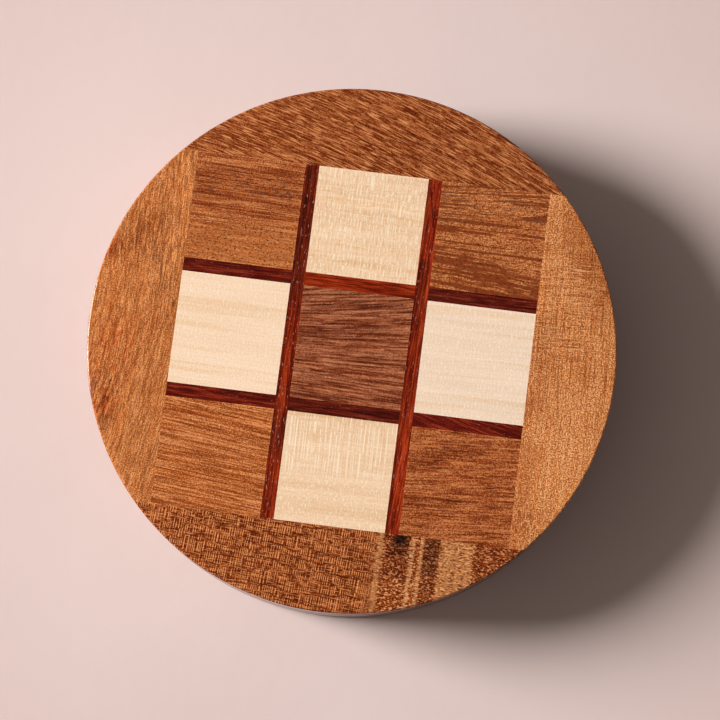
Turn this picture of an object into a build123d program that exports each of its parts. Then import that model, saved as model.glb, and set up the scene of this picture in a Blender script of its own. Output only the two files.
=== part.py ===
from build123d import *

import os
from math import hypot, sqrt

# A round wooden box whose swivel lid is an inlaid board for noughts and crosses. Steel discs lie under
# the nine fields, the ten pieces carry magnets, and they are stored in two pockets below the lid.
# Lengths are millimetres. The origin is the centre of the underside, on the surface that the box
# stands on. +Z is up, +Y is the side of the lid's pivot, and -Y is the front, with the catch.

# Overall
disc_diameter = 152.4
total_height = 25.4
rim_round = 0.6  # eased edge round the top
foot_round = 0.8  # eased edge round the underside
seam_chamfer = 0.3  # eased edges where the lid meets the base

# Layers of the lid, and the gap that the pivot's washer keeps under it
inlay_thickness = 3.2
backer_thickness = 6.35
seam_gap = 0.3

# Pattern of the inlay: the middle row and the middle column are a little larger than the outer ones
outer_tile = 31.4
middle_column_width = 31.9
middle_row_depth = 32.6
strip_width = 4.0

# Base
rim_wall = 10.0
divider_width = 18.0
floor_thickness = 4.8
pocket_corner_radius = 6.35

# Pivot, at the back end of the divider
pivot_inset = 13.0  # from the rim to the pivot's axis
shoulder_diameter = 6.0
shoulder_clearance = 0.05  # running fit of the shoulder in its bush, on the radius
bush_outer_diameter = 9.5
screw_head_diameter = 11.6
screw_head_height = 2.4
screw_edge_chamfer = 0.4  # round the head's outer edge and the thread's end
socket_across_flats = 3.0
socket_depth = 1.4
head_recess = 0.6  # the head stays this far above the underside
head_clearance = 0.4  # round the head, on the radius
head_washer_thickness = 0.5
thread_diameter = 4.8
thread_length = 4.6
insert_outer_diameter = 7.6
insert_length = 5.2
pivot_washer_diameter = 15.0

# Magnets and steel
catch_magnet_diameter = 9.5
catch_magnet_thickness = 3.2
field_disc_diameter = 25.4
field_disc_thickness = 1.2
glue_gap = 0.05  # round whatever is glued into a bore, on the radius, and behind it

# Playing pieces
piece_thickness = 6.35
piece_edge_chamfer = 0.5
cross_arm_length = 24.0
cross_arm_width = 6.4
cross_inner_round = 0.8
ring_diameter = 22.0
ring_bore_diameter = 8.6
cross_magnet_diameter = 6.0
cross_magnet_thickness = 3.0
ring_magnet_diameter = 4.0
ring_magnet_thickness = 3.0
piece_spacing = 1.4  # between the stored pieces, and from them to the divider

# Places worked out from the sizes above
disc_radius = disc_diameter / 2
lid_bottom = total_height - inlay_thickness - backer_thickness
backer_top = total_height - inlay_thickness
base_height = lid_bottom - seam_gap
pocket_radius = disc_radius - rim_wall
pivot_y = disc_radius - pivot_inset
catch_y = -pivot_y
grid_width = middle_column_width + 2 * (outer_tile + strip_width)
grid_depth = middle_row_depth + 2 * (outer_tile + strip_width)
column_step = middle_column_width / 2 + strip_width + outer_tile / 2
row_step = middle_row_depth / 2 + strip_width + outer_tile / 2
strip_x = (middle_column_width + strip_width) / 2
strip_y = (middle_row_depth + strip_width) / 2
border_width = disc_radius - grid_width / 2
border_depth = disc_radius - grid_depth / 2

# Columns and rows of the board, each as (name, centre, size)
columns = [
    ("left", -column_step, outer_tile),
    ("middle", 0.0, middle_column_width),
    ("right", column_step, outer_tile),
]
rows = [
    ("front", -row_step, outer_tile),
    ("middle", 0.0, middle_row_depth),
    ("back", row_step, outer_tile),
]

os.makedirs("parts", exist_ok=True)


def finish(builder, name):
    """Labels a finished sub-part and writes it to its own file."""
    builder.part.label = name
    export_step(builder.part, f"parts/{name}.step")


def top_rim_edges(part, height):
    """Edges of a part that lie at one height on the outer rim of the disc."""
    rim = part.edges().filter_by(GeomType.CIRCLE).filter_by(lambda edge: abs(edge.radius - disc_radius) < 0.01)
    return rim.filter_by(lambda edge: abs(edge.center().Z - height) < 0.01)


def make_disc(name, diameter, bottom, thickness, places):
    """Plain round discs that lie at one height, one at each of the places."""
    with BuildPart() as discs:
        with BuildSketch(Plane.XY.offset(bottom)):
            with Locations(*places):
                Circle(diameter / 2)
        extrude(amount=thickness)
    finish(discs, name)


def make_sleeve(name, outer_diameter, inner_diameter, bottom, length):
    """A plain sleeve or washer round the pivot's axis."""
    with BuildPart() as sleeve:
        with BuildSketch(Plane.XY.offset(bottom)):
            with Locations((0, pivot_y)):
                Circle(outer_diameter / 2)
                Circle(inner_diameter / 2, mode=Mode.SUBTRACT)
        extrude(amount=length)
    finish(sleeve, name)


# Base: one turned block with two routed pockets, one on each side of the divider
counterbore_radius = screw_head_diameter / 2 + head_clearance
counterbore_depth = head_recess + screw_head_height + head_washer_thickness
with BuildPart() as base_body:
    Cylinder(disc_radius, base_height, align=(Align.CENTER, Align.CENTER, Align.MIN))
    with BuildSketch(Plane.XY.offset(base_height)) as pockets:
        Circle(pocket_radius)
        Rectangle(divider_width, disc_diameter, mode=Mode.SUBTRACT)
        fillet(pockets.vertices(), pocket_corner_radius)
    extrude(amount=floor_thickness - base_height, mode=Mode.SUBTRACT)
    with Locations((0, pivot_y, base_height)):
        Hole(bush_outer_diameter / 2 + glue_gap)
    with Locations(Plane(origin=(0, pivot_y, 0), z_dir=(0, 0, -1))):
        Hole(counterbore_radius, depth=counterbore_depth)
    with Locations((0, catch_y, base_height)):
        Hole(catch_magnet_diameter / 2 + glue_gap, depth=catch_magnet_thickness + glue_gap)
    fillet(top_rim_edges(base_body.part, 0), foot_round)
    chamfer(top_rim_edges(base_body.part, base_height), seam_chamfer)
finish(base_body, "base_body")

make_disc(
    "base_catch_magnet",
    catch_magnet_diameter,
    base_height - catch_magnet_thickness,
    catch_magnet_thickness,
    [(0, catch_y)],
)

# Pivot: a shoulder screw that is driven up from a recess in the underside and ends in a threaded
# insert in the lid. Its shoulder runs in a bush that is glued into the base.
bush_inner_diameter = shoulder_diameter + 2 * shoulder_clearance
make_sleeve("pivot_bush", bush_outer_diameter, bush_inner_diameter, counterbore_depth, base_height - counterbore_depth)
make_sleeve("pivot_washer", pivot_washer_diameter, bush_inner_diameter, base_height, seam_gap)
make_sleeve(
    "screw_washer",
    screw_head_diameter,
    bush_inner_diameter,
    counterbore_depth - head_washer_thickness,
    head_washer_thickness,
)
make_sleeve("threaded_insert", insert_outer_diameter, thread_diameter + 2 * glue_gap, lid_bottom, insert_length)

with BuildPart() as pivot_screw:
    with BuildSketch(Plane(origin=(0, pivot_y, 0), x_dir=(1, 0, 0), z_dir=(0, -1, 0))) as profile:
        with BuildLine():
            Polyline(
                (0, head_recess),
                (screw_head_diameter / 2 - screw_edge_chamfer, head_recess),
                (screw_head_diameter / 2, head_recess + screw_edge_chamfer),
                (screw_head_diameter / 2, head_recess + screw_head_height),
                (shoulder_diameter / 2, head_recess + screw_head_height),
                (shoulder_diameter / 2, lid_bottom),
                (thread_diameter / 2, lid_bottom),
                (thread_diameter / 2, lid_bottom + thread_length - screw_edge_chamfer),
                (thread_diameter / 2 - screw_edge_chamfer, lid_bottom + thread_length),
                (0, lid_bottom + thread_length),
                close=True,
            )
        make_face()
    revolve(axis=Axis((0, pivot_y, 0), (0, 0, 1)))
    with BuildSketch(Plane.XY.offset(head_recess)):
        with Locations((0, pivot_y)):
            RegularPolygon(socket_across_flats / 2, 6, major_radius=False)
    extrude(amount=socket_depth, mode=Mode.SUBTRACT)
finish(pivot_screw, "pivot_screw")

# Lid: a backer disc with shallow pockets for the steel discs, under a layer of inlaid wood
fields = [(x, y) for _, x, _ in columns for _, y, _ in rows]
field_pocket_depth = field_disc_thickness + glue_gap
with BuildPart() as lid_backer:
    with BuildSketch(Plane.XY.offset(lid_bottom)):
        Circle(disc_radius)
    extrude(amount=backer_thickness)
    with BuildSketch(Plane.XY.offset(backer_top)):
        with Locations(*fields):
            Circle(field_disc_diameter / 2 + glue_gap)
    extrude(amount=-field_pocket_depth, mode=Mode.SUBTRACT)
    with Locations(Plane(origin=(0, pivot_y, lid_bottom), z_dir=(0, 0, -1))):
        Hole(insert_outer_diameter / 2 + glue_gap, depth=insert_length + glue_gap)
    with Locations(Plane(origin=(0, catch_y, lid_bottom), z_dir=(0, 0, -1))):
        Hole(catch_magnet_diameter / 2 + glue_gap, depth=catch_magnet_thickness + glue_gap)
    chamfer(top_rim_edges(lid_backer.part, lid_bottom), seam_chamfer)
finish(lid_backer, "lid_backer")

make_disc("lid_catch_magnet", catch_magnet_diameter, lid_bottom, catch_magnet_thickness, [(0, catch_y)])
make_disc("field_discs", field_disc_diameter, backer_top - field_pocket_depth, field_disc_thickness, fields)


def make_inlay_block(name, centre_x, centre_y, width, depth):
    """One straight-sided piece of the inlay, as thick as the inlay layer."""
    with BuildPart() as block:
        with BuildSketch(Plane.XY.offset(backer_top)):
            with Locations((centre_x, centre_y)):
                Rectangle(width, depth)
        extrude(amount=inlay_thickness)
    finish(block, name)


def make_border(name, centre_x, centre_y, width, depth):
    """One segment of the border: what a rectangle beside the grid keeps of a turned disc with an eased rim."""
    with BuildPart() as border:
        with BuildSketch(Plane.XY.offset(backer_top)):
            Circle(disc_radius)
        extrude(amount=inlay_thickness)
        fillet(top_rim_edges(border.part, total_height), rim_round)
        with BuildSketch(Plane.XY.offset(backer_top)):
            with Locations((centre_x, centre_y)):
                Rectangle(width, depth)
        extrude(amount=inlay_thickness, mode=Mode.INTERSECT)
    finish(border, name)


# Tiles, with the short strips between them in each column
for column_name, x, column_width in columns:
    for row_name, y, row_depth in rows:
        make_inlay_block(f"tile_{row_name}_{column_name}", x, y, column_width, row_depth)
    for side_name, side in (("front", -1), ("back", 1)):
        make_inlay_block(f"short_strip_{side_name}_{column_name}", x, side * strip_y, column_width, strip_width)

# Long strips, which run unbroken from the front of the grid to the back
for side_name, side in (("left", -1), ("right", 1)):
    make_inlay_block(f"long_strip_{side_name}", side * strip_x, 0, strip_width, grid_depth)

# Border: the front and back segments run over the ends of the left and right ones
for side_name, side in (("left", -1), ("right", 1)):
    make_border(f"border_{side_name}", side * (grid_width + border_width) / 2, 0, border_width, grid_depth)
for side_name, side in (("front", -1), ("back", 1)):
    make_border(f"border_{side_name}", 0, side * (grid_depth + border_depth) / 2, disc_diameter, border_depth)

# Playing pieces: five crosses in the left pocket and five rings in the right one
cross_reach = hypot(cross_arm_length, cross_arm_width) / 2
ring_band_radius = (ring_diameter + ring_bore_diameter) / 4


def stored_places(reach, side):
    """Where the five pieces of one kind lie: four in a row along the divider, the fifth nested beside them."""
    step = 2 * reach + piece_spacing
    row_x = divider_width / 2 + piece_spacing + reach
    along_divider = [(side * row_x, (place - 1.5) * step) for place in range(4)]
    return along_divider + [(side * (row_x + step * sqrt(3) / 2), 0)]


def make_cross(number, x, y):
    """One cross and the magnet that is glued into its underside."""
    with BuildPart() as cross:
        with BuildSketch(Plane.XY.offset(floor_thickness)) as outline:
            with Locations(Location((x, y, 0), 45), Location((x, y, 0), -45)):
                Rectangle(cross_arm_length, cross_arm_width)
            inner_corners = outline.vertices().sort_by_distance((x, y, floor_thickness))[:4]
            fillet(inner_corners, cross_inner_round)
        extrude(amount=piece_thickness)
        flat_faces = cross.faces().filter_by(Axis.Z)
        chamfer(flat_faces.edges(), piece_edge_chamfer)
        with Locations(Plane(origin=(x, y, floor_thickness), z_dir=(0, 0, -1))):
            Hole(cross_magnet_diameter / 2 + glue_gap, depth=cross_magnet_thickness + glue_gap)
    finish(cross, f"cross_{number}")
    make_disc(f"cross_magnet_{number}", cross_magnet_diameter, floor_thickness, cross_magnet_thickness, [(x, y)])


def make_ring(number, x, y):
    """One ring and the two magnets that are glued into its underside."""
    magnet_places = [(x, y - ring_band_radius), (x, y + ring_band_radius)]
    with BuildPart() as ring:
        with BuildSketch(Plane.XY.offset(floor_thickness)):
            with Locations((x, y)):
                Circle(ring_diameter / 2)
                Circle(ring_bore_diameter / 2, mode=Mode.SUBTRACT)
        extrude(amount=piece_thickness)
        chamfer(ring.faces().filter_by(Axis.Z).edges(), piece_edge_chamfer)
        with BuildSketch(Plane.XY.offset(floor_thickness)):
            with Locations(*magnet_places):
                Circle(ring_magnet_diameter / 2 + glue_gap)
        extrude(amount=ring_magnet_thickness + glue_gap, mode=Mode.SUBTRACT)
    finish(ring, f"ring_{number}")
    make_disc(f"ring_magnets_{number}", ring_magnet_diameter, floor_thickness, ring_magnet_thickness, magnet_places)


for number, (x, y) in enumerate(stored_places(cross_reach, -1), start=1):
    make_cross(number, x, y)
for number, (x, y) in enumerate(stored_places(ring_diameter / 2, 1), start=1):
    make_ring(number, x, y)
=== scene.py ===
import logging
import math
from collections.abc import Sequence
from dataclasses import dataclass, replace
from enum import Enum

import bmesh
import bpy
from mathutils import Matrix, Vector
from mathutils.geometry import tessellate_polygon


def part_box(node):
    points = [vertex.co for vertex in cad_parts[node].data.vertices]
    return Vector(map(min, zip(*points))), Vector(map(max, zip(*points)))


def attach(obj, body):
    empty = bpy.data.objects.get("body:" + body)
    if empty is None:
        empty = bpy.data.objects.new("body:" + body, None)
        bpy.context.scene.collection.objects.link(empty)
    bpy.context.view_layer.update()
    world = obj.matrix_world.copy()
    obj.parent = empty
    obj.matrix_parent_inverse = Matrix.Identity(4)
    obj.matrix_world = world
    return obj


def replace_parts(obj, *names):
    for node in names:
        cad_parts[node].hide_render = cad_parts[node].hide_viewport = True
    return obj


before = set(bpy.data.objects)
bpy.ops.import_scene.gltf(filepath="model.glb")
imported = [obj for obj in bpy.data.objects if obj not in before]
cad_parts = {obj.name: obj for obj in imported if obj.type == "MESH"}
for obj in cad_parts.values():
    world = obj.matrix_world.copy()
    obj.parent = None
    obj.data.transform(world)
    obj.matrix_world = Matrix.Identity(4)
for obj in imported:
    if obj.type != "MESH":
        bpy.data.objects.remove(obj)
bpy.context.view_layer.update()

# The looks of a round wooden noughts-and-crosses box with a swivel lid. Lengths in this file are
# millimetres, angles are degrees, and colours are written as the eye reads them, from 0 to 255.
LOG = logging.getLogger("board_box")
MM = 0.001

# The five places on the ground's ramp at which a wood's tones stand, from dark to light.
GROUND_STOPS = (0.12, 0.36, 0.5, 0.66, 0.88)

# How many sides the large turned pieces have.
TURNED_SIDES = 288

# Edges sharper than this stay sharp.
CREASE = 32.0

Tone = tuple[float, float, float]
Tones = tuple[Tone, ...]
Point = tuple[float, float, float]
Spot = tuple[float, float]
Node = bpy.types.Node
Socket = bpy.types.NodeSocket
Tree = bpy.types.NodeTree
Material = bpy.types.Material
Mesh = bpy.types.Mesh
Piece = bpy.types.Object

# What an input takes: an output socket, or a plain value of the input's own kind.
Feed = object


def linear(tone: Tone) -> tuple[float, float, float, float]:
    """Turns a tone as the eye reads it into the linear colour that a shader takes.

    Args:
        tone: Red, green and blue from 0 to 255.

    Returns:
        The linear colour, with an alpha of 1.
    """
    steps = [value / 255 for value in tone]
    return (*[s / 12.92 if s <= 0.04045 else ((s + 0.055) / 1.055) ** 2.4 for s in steps], 1.0)


def lighter(tones: Tones, share: float) -> Tones:
    """Returns the tones, each one brighter by a share above 1 or darker by one below it."""
    return tuple(tuple(min(255.0, value * share) for value in tone) for tone in tones)


class Figure(Enum):
    """How the marks of one layer lie in the wood."""

    ALONG = "along the grain"
    ACROSS = "across the grain"
    SPECKS = "specks without direction"
    WOVEN = "short dashes across the grain, side by side like threads"


class Laying(Enum):
    """How a layer changes the ground that it lies on."""

    TINT = "MULTIPLY"
    COVER = "MIX"


class Edge(Enum):
    """The four sides of the board, each with its direction from the centre."""

    LEFT = (-1, 0)
    RIGHT = (1, 0)
    FRONT = (0, -1)
    BACK = (0, 1)


class Wiring:
    """Adds nodes to one node tree and joins them up."""

    def __init__(self, tree: Tree) -> None:
        """Takes the tree that the nodes go into."""
        self.tree = tree

    def feed(self, socket: Socket, value: Feed) -> None:
        """Links a socket to another one, or sets its own value.

        Args:
            socket: The input to feed.
            value: An output socket, or a plain value.
        """
        if isinstance(value, Socket):
            self.tree.links.new(value, socket)
        else:
            socket.default_value = value

    def add(self, kind: str, feeds: dict | None = None, **settings: object) -> Node:
        """Adds one node.

        Args:
            kind: The node's type name.
            feeds: Values or sockets for its inputs, by name or number.
            settings: The node's own settings.

        Returns:
            The new node.
        """
        node = self.tree.nodes.new(kind)
        for name, value in settings.items():
            setattr(node, name, value)
        for key, value in (feeds or {}).items():
            self.feed(node.inputs[key], value)
        return node

    def made(self, kind: str, feeds: dict | None = None, **settings: object) -> Socket:
        """Adds one node and returns its first output."""
        return self.add(kind, feeds, **settings).outputs[0]

    def math(self, operation: str, a: Feed, b: Feed = 0.0, c: Feed = 0.0) -> Socket:
        """Adds a Math node and returns its value."""
        return self.made("ShaderNodeMath", {0: a, 1: b, 2: c}, operation=operation)

    def vector(self, operation: str, a: Feed, b: Feed = (0, 0, 0)) -> Socket:
        """Adds a Vector Math node and returns its vector."""
        return self.add("ShaderNodeVectorMath", {0: a, 1: b}, operation=operation).outputs["Vector"]

    def joined(self, x: Feed, y: Feed, z: Feed) -> Socket:
        """Adds a Combine XYZ node and returns its vector."""
        return self.made("ShaderNodeCombineXYZ", {0: x, 1: y, 2: z})

    def parted(self, vector: Feed) -> Sequence[Socket]:
        """Adds a Separate XYZ node and returns its three values."""
        return self.add("ShaderNodeSeparateXYZ", {0: vector}).outputs

    def spread(self, value: Feed, low: Feed, high: Feed, start: Feed = 0.0, end: Feed = 1.0) -> Socket:
        """Maps a value smoothly from one range to another.

        Args:
            value: What is mapped.
            low: Where the smooth step begins.
            high: Where it ends.
            start: The result below low.
            end: The result above high.

        Returns:
            The mapped value.
        """
        feeds = {0: value, 1: low, 2: high, 3: start, 4: end}
        return self.made("ShaderNodeMapRange", feeds, interpolation_type="SMOOTHSTEP")

    def noise(self, vector: Feed, scale: float = 1.0, detail: float = 2.0, roughness: Feed = 0.5) -> Socket:
        """Adds a Noise Texture and returns its value.

        Args:
            vector: Where it is read.
            scale: Its scale.
            detail: How many finer layers it has.
            roughness: How strong those are.

        Returns:
            The value, around 0.5.
        """
        feeds = {"Vector": vector, "Scale": scale, "Detail": detail, "Roughness": roughness}
        return self.made("ShaderNodeTexNoise", feeds)

    def mixed(self, share: Feed, a: Feed, b: Feed, laying: Laying = Laying.COVER) -> Socket:
        """Mixes two colours.

        Args:
            share: How much of the second one shows.
            a: The first colour.
            b: The second colour.
            laying: How the second one is laid over the first.

        Returns:
            The mixed colour.
        """
        node = self.add("ShaderNodeMix", data_type="RGBA", blend_type=laying.value)
        for key, value in (("Factor_Float", share), ("A_Color", a), ("B_Color", b)):
            self.feed(next(s for s in node.inputs if s.identifier == key), value)
        return next(s for s in node.outputs if s.identifier == "Result_Color")

    def ramp(self, value: Feed, tones: Sequence[tuple[float, Tone]]) -> Socket:
        """Adds a colour ramp.

        Args:
            value: What the ramp is read with.
            tones: Places on the ramp and their tones.

        Returns:
            The colour.
        """
        node = self.add("ShaderNodeValToRGB", {0: value})
        stops = node.color_ramp.elements
        while len(stops) < len(tones):
            stops.new(0.5)
        for stop, (place, tone) in zip(stops, tones):
            stop.position, stop.color = place, linear(tone)
        return node.outputs[0]

    def group(self, tree: Tree, **feeds: Feed) -> Node:
        """Places a shared group.

        Args:
            tree: The group.
            feeds: Its inputs, with underscores for the spaces in their names.

        Returns:
            The group's node.
        """
        node = self.add("ShaderNodeGroup", node_tree=tree)
        for name, value in feeds.items():
            self.feed(node.inputs[name.replace("_", " ").title()], value)
        return node


class Effects:
    """The shader groups that the finishes share, each built once."""

    def __init__(self) -> None:
        """Builds every group."""
        self.grain = self._grain()
        self.lines = self._lines()
        self.weave = self._weave()
        self.zone = self._zone()
        self.joint = self._joint()
        self.lacquer = self._lacquer()
        self.turned = self._turned()
        self.rub = self._edge_wear_shade_mask()

    def _start(
        self, name: str, inputs: dict[str, Feed], outputs: dict[str, str]
    ) -> tuple[Wiring, dict[str, Socket], dict[str, Socket]]:
        """Makes an empty group with its sockets.

        Args:
            name: The group's name.
            inputs: Names and default values of its inputs.
            outputs: Names and socket types of its outputs.

        Returns:
            Its wiring, its input sockets by name and the inputs of its output node by name.
        """
        tree = bpy.data.node_groups.new(name, "ShaderNodeTree")
        for label, value in inputs.items():
            kind = "NodeSocketFloat" if isinstance(value, float) else "NodeSocketVector"
            tree.interface.new_socket(label, in_out="INPUT", socket_type=kind).default_value = value
        for label, kind in outputs.items():
            tree.interface.new_socket(label, in_out="OUTPUT", socket_type=f"NodeSocket{kind}")
        wiring = Wiring(tree)
        given = {s.name: s for s in wiring.add("NodeGroupInput").outputs if s.name}
        taken = {s.name: s for s in wiring.add("NodeGroupOutput").inputs if s.name}
        return wiring, given, taken

    def _grain(self) -> Tree:
        """Turns a place on the board into a place in one board's grain: along it, across it and down."""
        inputs = {
            "Board": (0, 0, 0), "Centre": (0, 0, 0), "Turn": 0.0, "Bend": 0.0, "Fan": 0.0,
            "Wave Height": 0.2, "Wave Length": 20.0, "Seed": 0.0,
        }
        w, given, taken = self._start("Grain", inputs, {"Grain": "Vector"})
        local = w.vector("SUBTRACT", given["Board"], given["Centre"])
        feeds = {"Vector": local, "Angle": w.math("MULTIPLY", given["Turn"], -1.0)}
        x, y, z = w.parted(w.made("ShaderNodeVectorRotate", feeds, rotation_type="Z_AXIS"))
        bent = w.math("MULTIPLY_ADD", w.math("MULTIPLY", x, x), given["Bend"], y)
        bent = w.math("SUBTRACT", bent, w.math("MULTIPLY", w.math("MULTIPLY", x, y), given["Fan"]))
        seeded = w.math("MULTIPLY_ADD", given["Seed"], 53.0, x)
        place = w.joined(w.math("DIVIDE", seeded, given["Wave Length"]), w.math("DIVIDE", bent, 5.0), 0.0)
        sway = w.math("MULTIPLY", w.math("SUBTRACT", w.noise(place, detail=1.0), 0.5), given["Wave Height"])
        across = w.math("MULTIPLY_ADD", sway, 4.0, bent)
        w.feed(taken["Grain"], w.joined(seeded, across, z))
        return w.tree

    def _lines(self) -> Tree:
        """Dashes of one length and spacing in the grain, as a value and as a mask between two levels."""
        inputs = {"Grain": (0, 0, 0), "Length": 5.0, "Spacing": 0.6, "Low": 0.0, "High": 1.0, "Fine": 0.45}
        w, given, taken = self._start("Lines", inputs, {"Value": "Float", "Mask": "Float"})
        along = w.math("DIVIDE", 1.0, given["Length"])
        across = w.math("DIVIDE", 1.0, given["Spacing"])
        place = w.vector("MULTIPLY", given["Grain"], w.joined(along, across, across))
        value = w.noise(place, roughness=given["Fine"])
        w.feed(taken["Value"], value)
        w.feed(taken["Mask"], w.spread(value, given["Low"], given["High"]))
        return w.tree

    def _weave(self) -> Tree:
        """Rows of dashes that stand across the grain at an almost even spacing, as a mask."""
        inputs = {"Grain": (0, 0, 0), "Length": 2.0, "Spacing": 0.8, "Low": 0.1, "High": 0.8}
        w, given, taken = self._start("Weave", inputs, {"Mask": "Float"})
        x, y, _ = w.parted(given["Grain"])
        bow = w.noise(w.joined(w.math("DIVIDE", x, 7.0), w.math("DIVIDE", y, 7.0), 3.0))
        down = w.math("MULTIPLY_ADD", bow, 3.0, w.math("DIVIDE", y, given["Length"]))
        row = w.math("MULTIPLY", w.math("FLOOR", down), 0.73)
        drift = w.noise(w.joined(w.math("DIVIDE", x, 2.4), row, 5.0))
        phase = w.math("MULTIPLY_ADD", drift, 3.4, w.math("DIVIDE", x, given["Spacing"]))
        threads = w.spread(
            w.math("SINE", w.math("MULTIPLY", phase, 2 * math.pi)), given["Low"], given["High"],
        )
        middle = w.math("ABSOLUTE", w.math("SUBTRACT", w.math("FRACT", down), 0.5))
        broken = w.noise(w.joined(w.math("DIVIDE", x, 1.2), down, 9.0))
        whole = w.math("MULTIPLY", w.spread(middle, 0.3, 0.5, 1.0, 0.0), w.spread(broken, 0.38, 0.48))
        w.feed(taken["Mask"], w.math("MULTIPLY", threads, whole))
        return w.tree

    def _zone(self) -> Tree:
        """A soft-edged, ragged patch of the board."""
        inputs = {
            "Board": (0, 0, 0), "Centre": (0, 0, 0), "Half": (5, 5, 0), "Turn": 0.0, "Soft": 2.0,
            "Ragged": 1.0,
        }
        w, given, taken = self._start("Zone", inputs, {"Mask": "Float"})
        local = w.vector("SUBTRACT", given["Board"], given["Centre"])
        feeds = {"Vector": local, "Angle": w.math("MULTIPLY", given["Turn"], -1.0)}
        turned = w.made("ShaderNodeVectorRotate", feeds, rotation_type="Z_AXIS")
        x, y, _ = w.parted(w.vector("SUBTRACT", w.vector("ABSOLUTE", turned), given["Half"]))
        torn = w.math("SUBTRACT", w.noise(given["Board"], 0.35, 3.0, 0.65), 0.5)
        edge = w.math(
            "MULTIPLY_ADD", torn, w.math("MULTIPLY", given["Ragged"], 4.0), w.math("MAXIMUM", x, y),
        )
        inner = w.math("MULTIPLY", given["Soft"], -1.0)
        w.feed(taken["Mask"], w.spread(edge, inner, given["Soft"], 1.0, 0.0))
        return w.tree

    def _joint(self) -> Tree:
        """A thin line inside the edges of one rectangle of the board."""
        inputs = {"Board": (0, 0, 0), "Centre": (0, 0, 0), "Half": (5, 5, 0), "Width": 0.3}
        w, given, taken = self._start("Joint", inputs, {"Mask": "Float"})
        local = w.vector("ABSOLUTE", w.vector("SUBTRACT", given["Board"], given["Centre"]))
        x, y, _ = w.parted(w.vector("SUBTRACT", given["Half"], local))
        w.feed(taken["Mask"], w.spread(w.math("MINIMUM", x, y), 0.0, given["Width"], 1.0, 0.0))
        return w.tree

    def _lacquer(self) -> Tree:
        """Satin lacquer over open grain: how well it covers, and the height of the grain under it."""
        inputs = {"Board": (0, 0, 0), "Ground": 0.5, "Cover": 0.8, "Smudge": 0.08}
        w, given, taken = self._start("Lacquer", inputs, {"Cover": "Float", "Height": "Float"})
        cloud = w.math("SUBTRACT", w.noise(given["Board"], 0.06, 3.0, 0.6), 0.5)
        open_grain = w.math("MULTIPLY", w.math("SUBTRACT", given["Ground"], 0.5), 0.25)
        smudged = w.math("MULTIPLY_ADD", cloud, w.math("MULTIPLY", given["Smudge"], 4.0), given["Cover"])
        w.feed(taken["Cover"], w.math("ADD", smudged, open_grain))
        w.feed(
            taken["Height"],
            w.math("MULTIPLY_ADD", w.noise(given["Board"], 1.3, 2.0), 0.25, given["Ground"]),
        )
        return w.tree

    def _turned(self) -> Tree:
        """Fine concentric tool marks round one axis, with scratches across them."""
        inputs = {"Board": (0, 0, 0), "Axis": (0, 0, 0), "Spacing": 0.2, "Seed": 0.0}
        w, given, taken = self._start("Turned", inputs, {"Marks": "Float", "Cloud": "Float"})
        x, y, z = w.parted(w.vector("SUBTRACT", given["Board"], given["Axis"]))
        radius = w.math("SQRT", w.math("ADD", w.math("MULTIPLY", x, x), w.math("MULTIPLY", y, y)))
        ringed = w.math("DIVIDE", radius, given["Spacing"])
        turn = w.math("ARCTAN2", y, x)
        around = w.joined(
            ringed, w.math("MULTIPLY", w.math("SINE", turn), 0.4), w.math("ADD", z, given["Seed"]),
        )
        w.feed(taken["Marks"], w.noise(around, 1.0, 2.0, 0.7))
        w.feed(
            taken["Cloud"],
            w.noise(w.vector("ADD", given["Board"], w.joined(given["Seed"], 0.0, 0.0)), 0.3, 3.0),
        )
        return w.tree

    def _edge_wear_shade_mask(self) -> Tree:
        """A mask over a piece's rounded edges, read from the tilt of its surface: edge wear, and on the
        borders painted shade along the rim.
        """
        inputs = {"Board": (0, 0, 0), "Tilt": (0, 0, 1)}
        w, given, taken = self._start("Rub", inputs, {"Mask": "Float"})
        _, _, z = w.parted(given["Tilt"])
        slope = w.math("ABSOLUTE", w.math("SUBTRACT", w.math("ABSOLUTE", z), 0.6))
        edge_wear_and_shade = w.spread(slope, 0.1, 0.36, 1.0, 0.0)
        w.feed(
            taken["Mask"],
            w.math("MULTIPLY", edge_wear_and_shade, w.spread(w.noise(given["Board"], 0.5, 3.0), 0.35, 0.6, 0.35, 1.0)),
        )
        return w.tree


@dataclass(frozen=True)
class Zone:
    """One patch of the board: its centre, half sizes, turn in degrees and how soft and ragged its edge is."""

    centre: Spot
    half: Spot
    turn: float = 0.0
    soft: float = 2.0
    ragged: float = 0.6

    def mask(self, w: Wiring, effects: Effects, board: Feed) -> Socket:
        """Places the zone in a material and returns its mask."""
        node = w.group(
            effects.zone, board=board, centre=(*self.centre, 0), half=(*self.half, 1000),
            turn=math.radians(self.turn), soft=self.soft, ragged=self.ragged,
        )
        return node.outputs["Mask"]


@dataclass(frozen=True)
class Marks:
    """One layer of marks over the ground: what they look like, and what they change the colour to.

    A TINT multiplies the ground's linear colour by its amounts. A COVER lays its tone over it. Marks begin
    where the noise that they are read from passes low, and are full a step above it. Plain ones have no
    figure and change their zone evenly.
    """

    amounts: Tone
    strength: float = 1.0
    figure: Figure = Figure.ALONG
    laying: Laying = Laying.TINT
    length: float = 5.0
    spacing: float = 0.6
    low: float = 0.55
    step: float = 0.05
    zone: Zone | None = None
    plain: bool = False


def over(tone: Tone, strength: float = 1.0, figure: Figure = Figure.ALONG, **settings: object) -> Marks:
    """Returns marks that cover the ground with a tone."""
    return Marks(tone, strength, figure, Laying.COVER, **settings)


def shade(amounts: Tone, zone: Zone) -> Marks:
    """Returns an even tint over one zone."""
    return Marks(amounts, plain=True, zone=zone)


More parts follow.
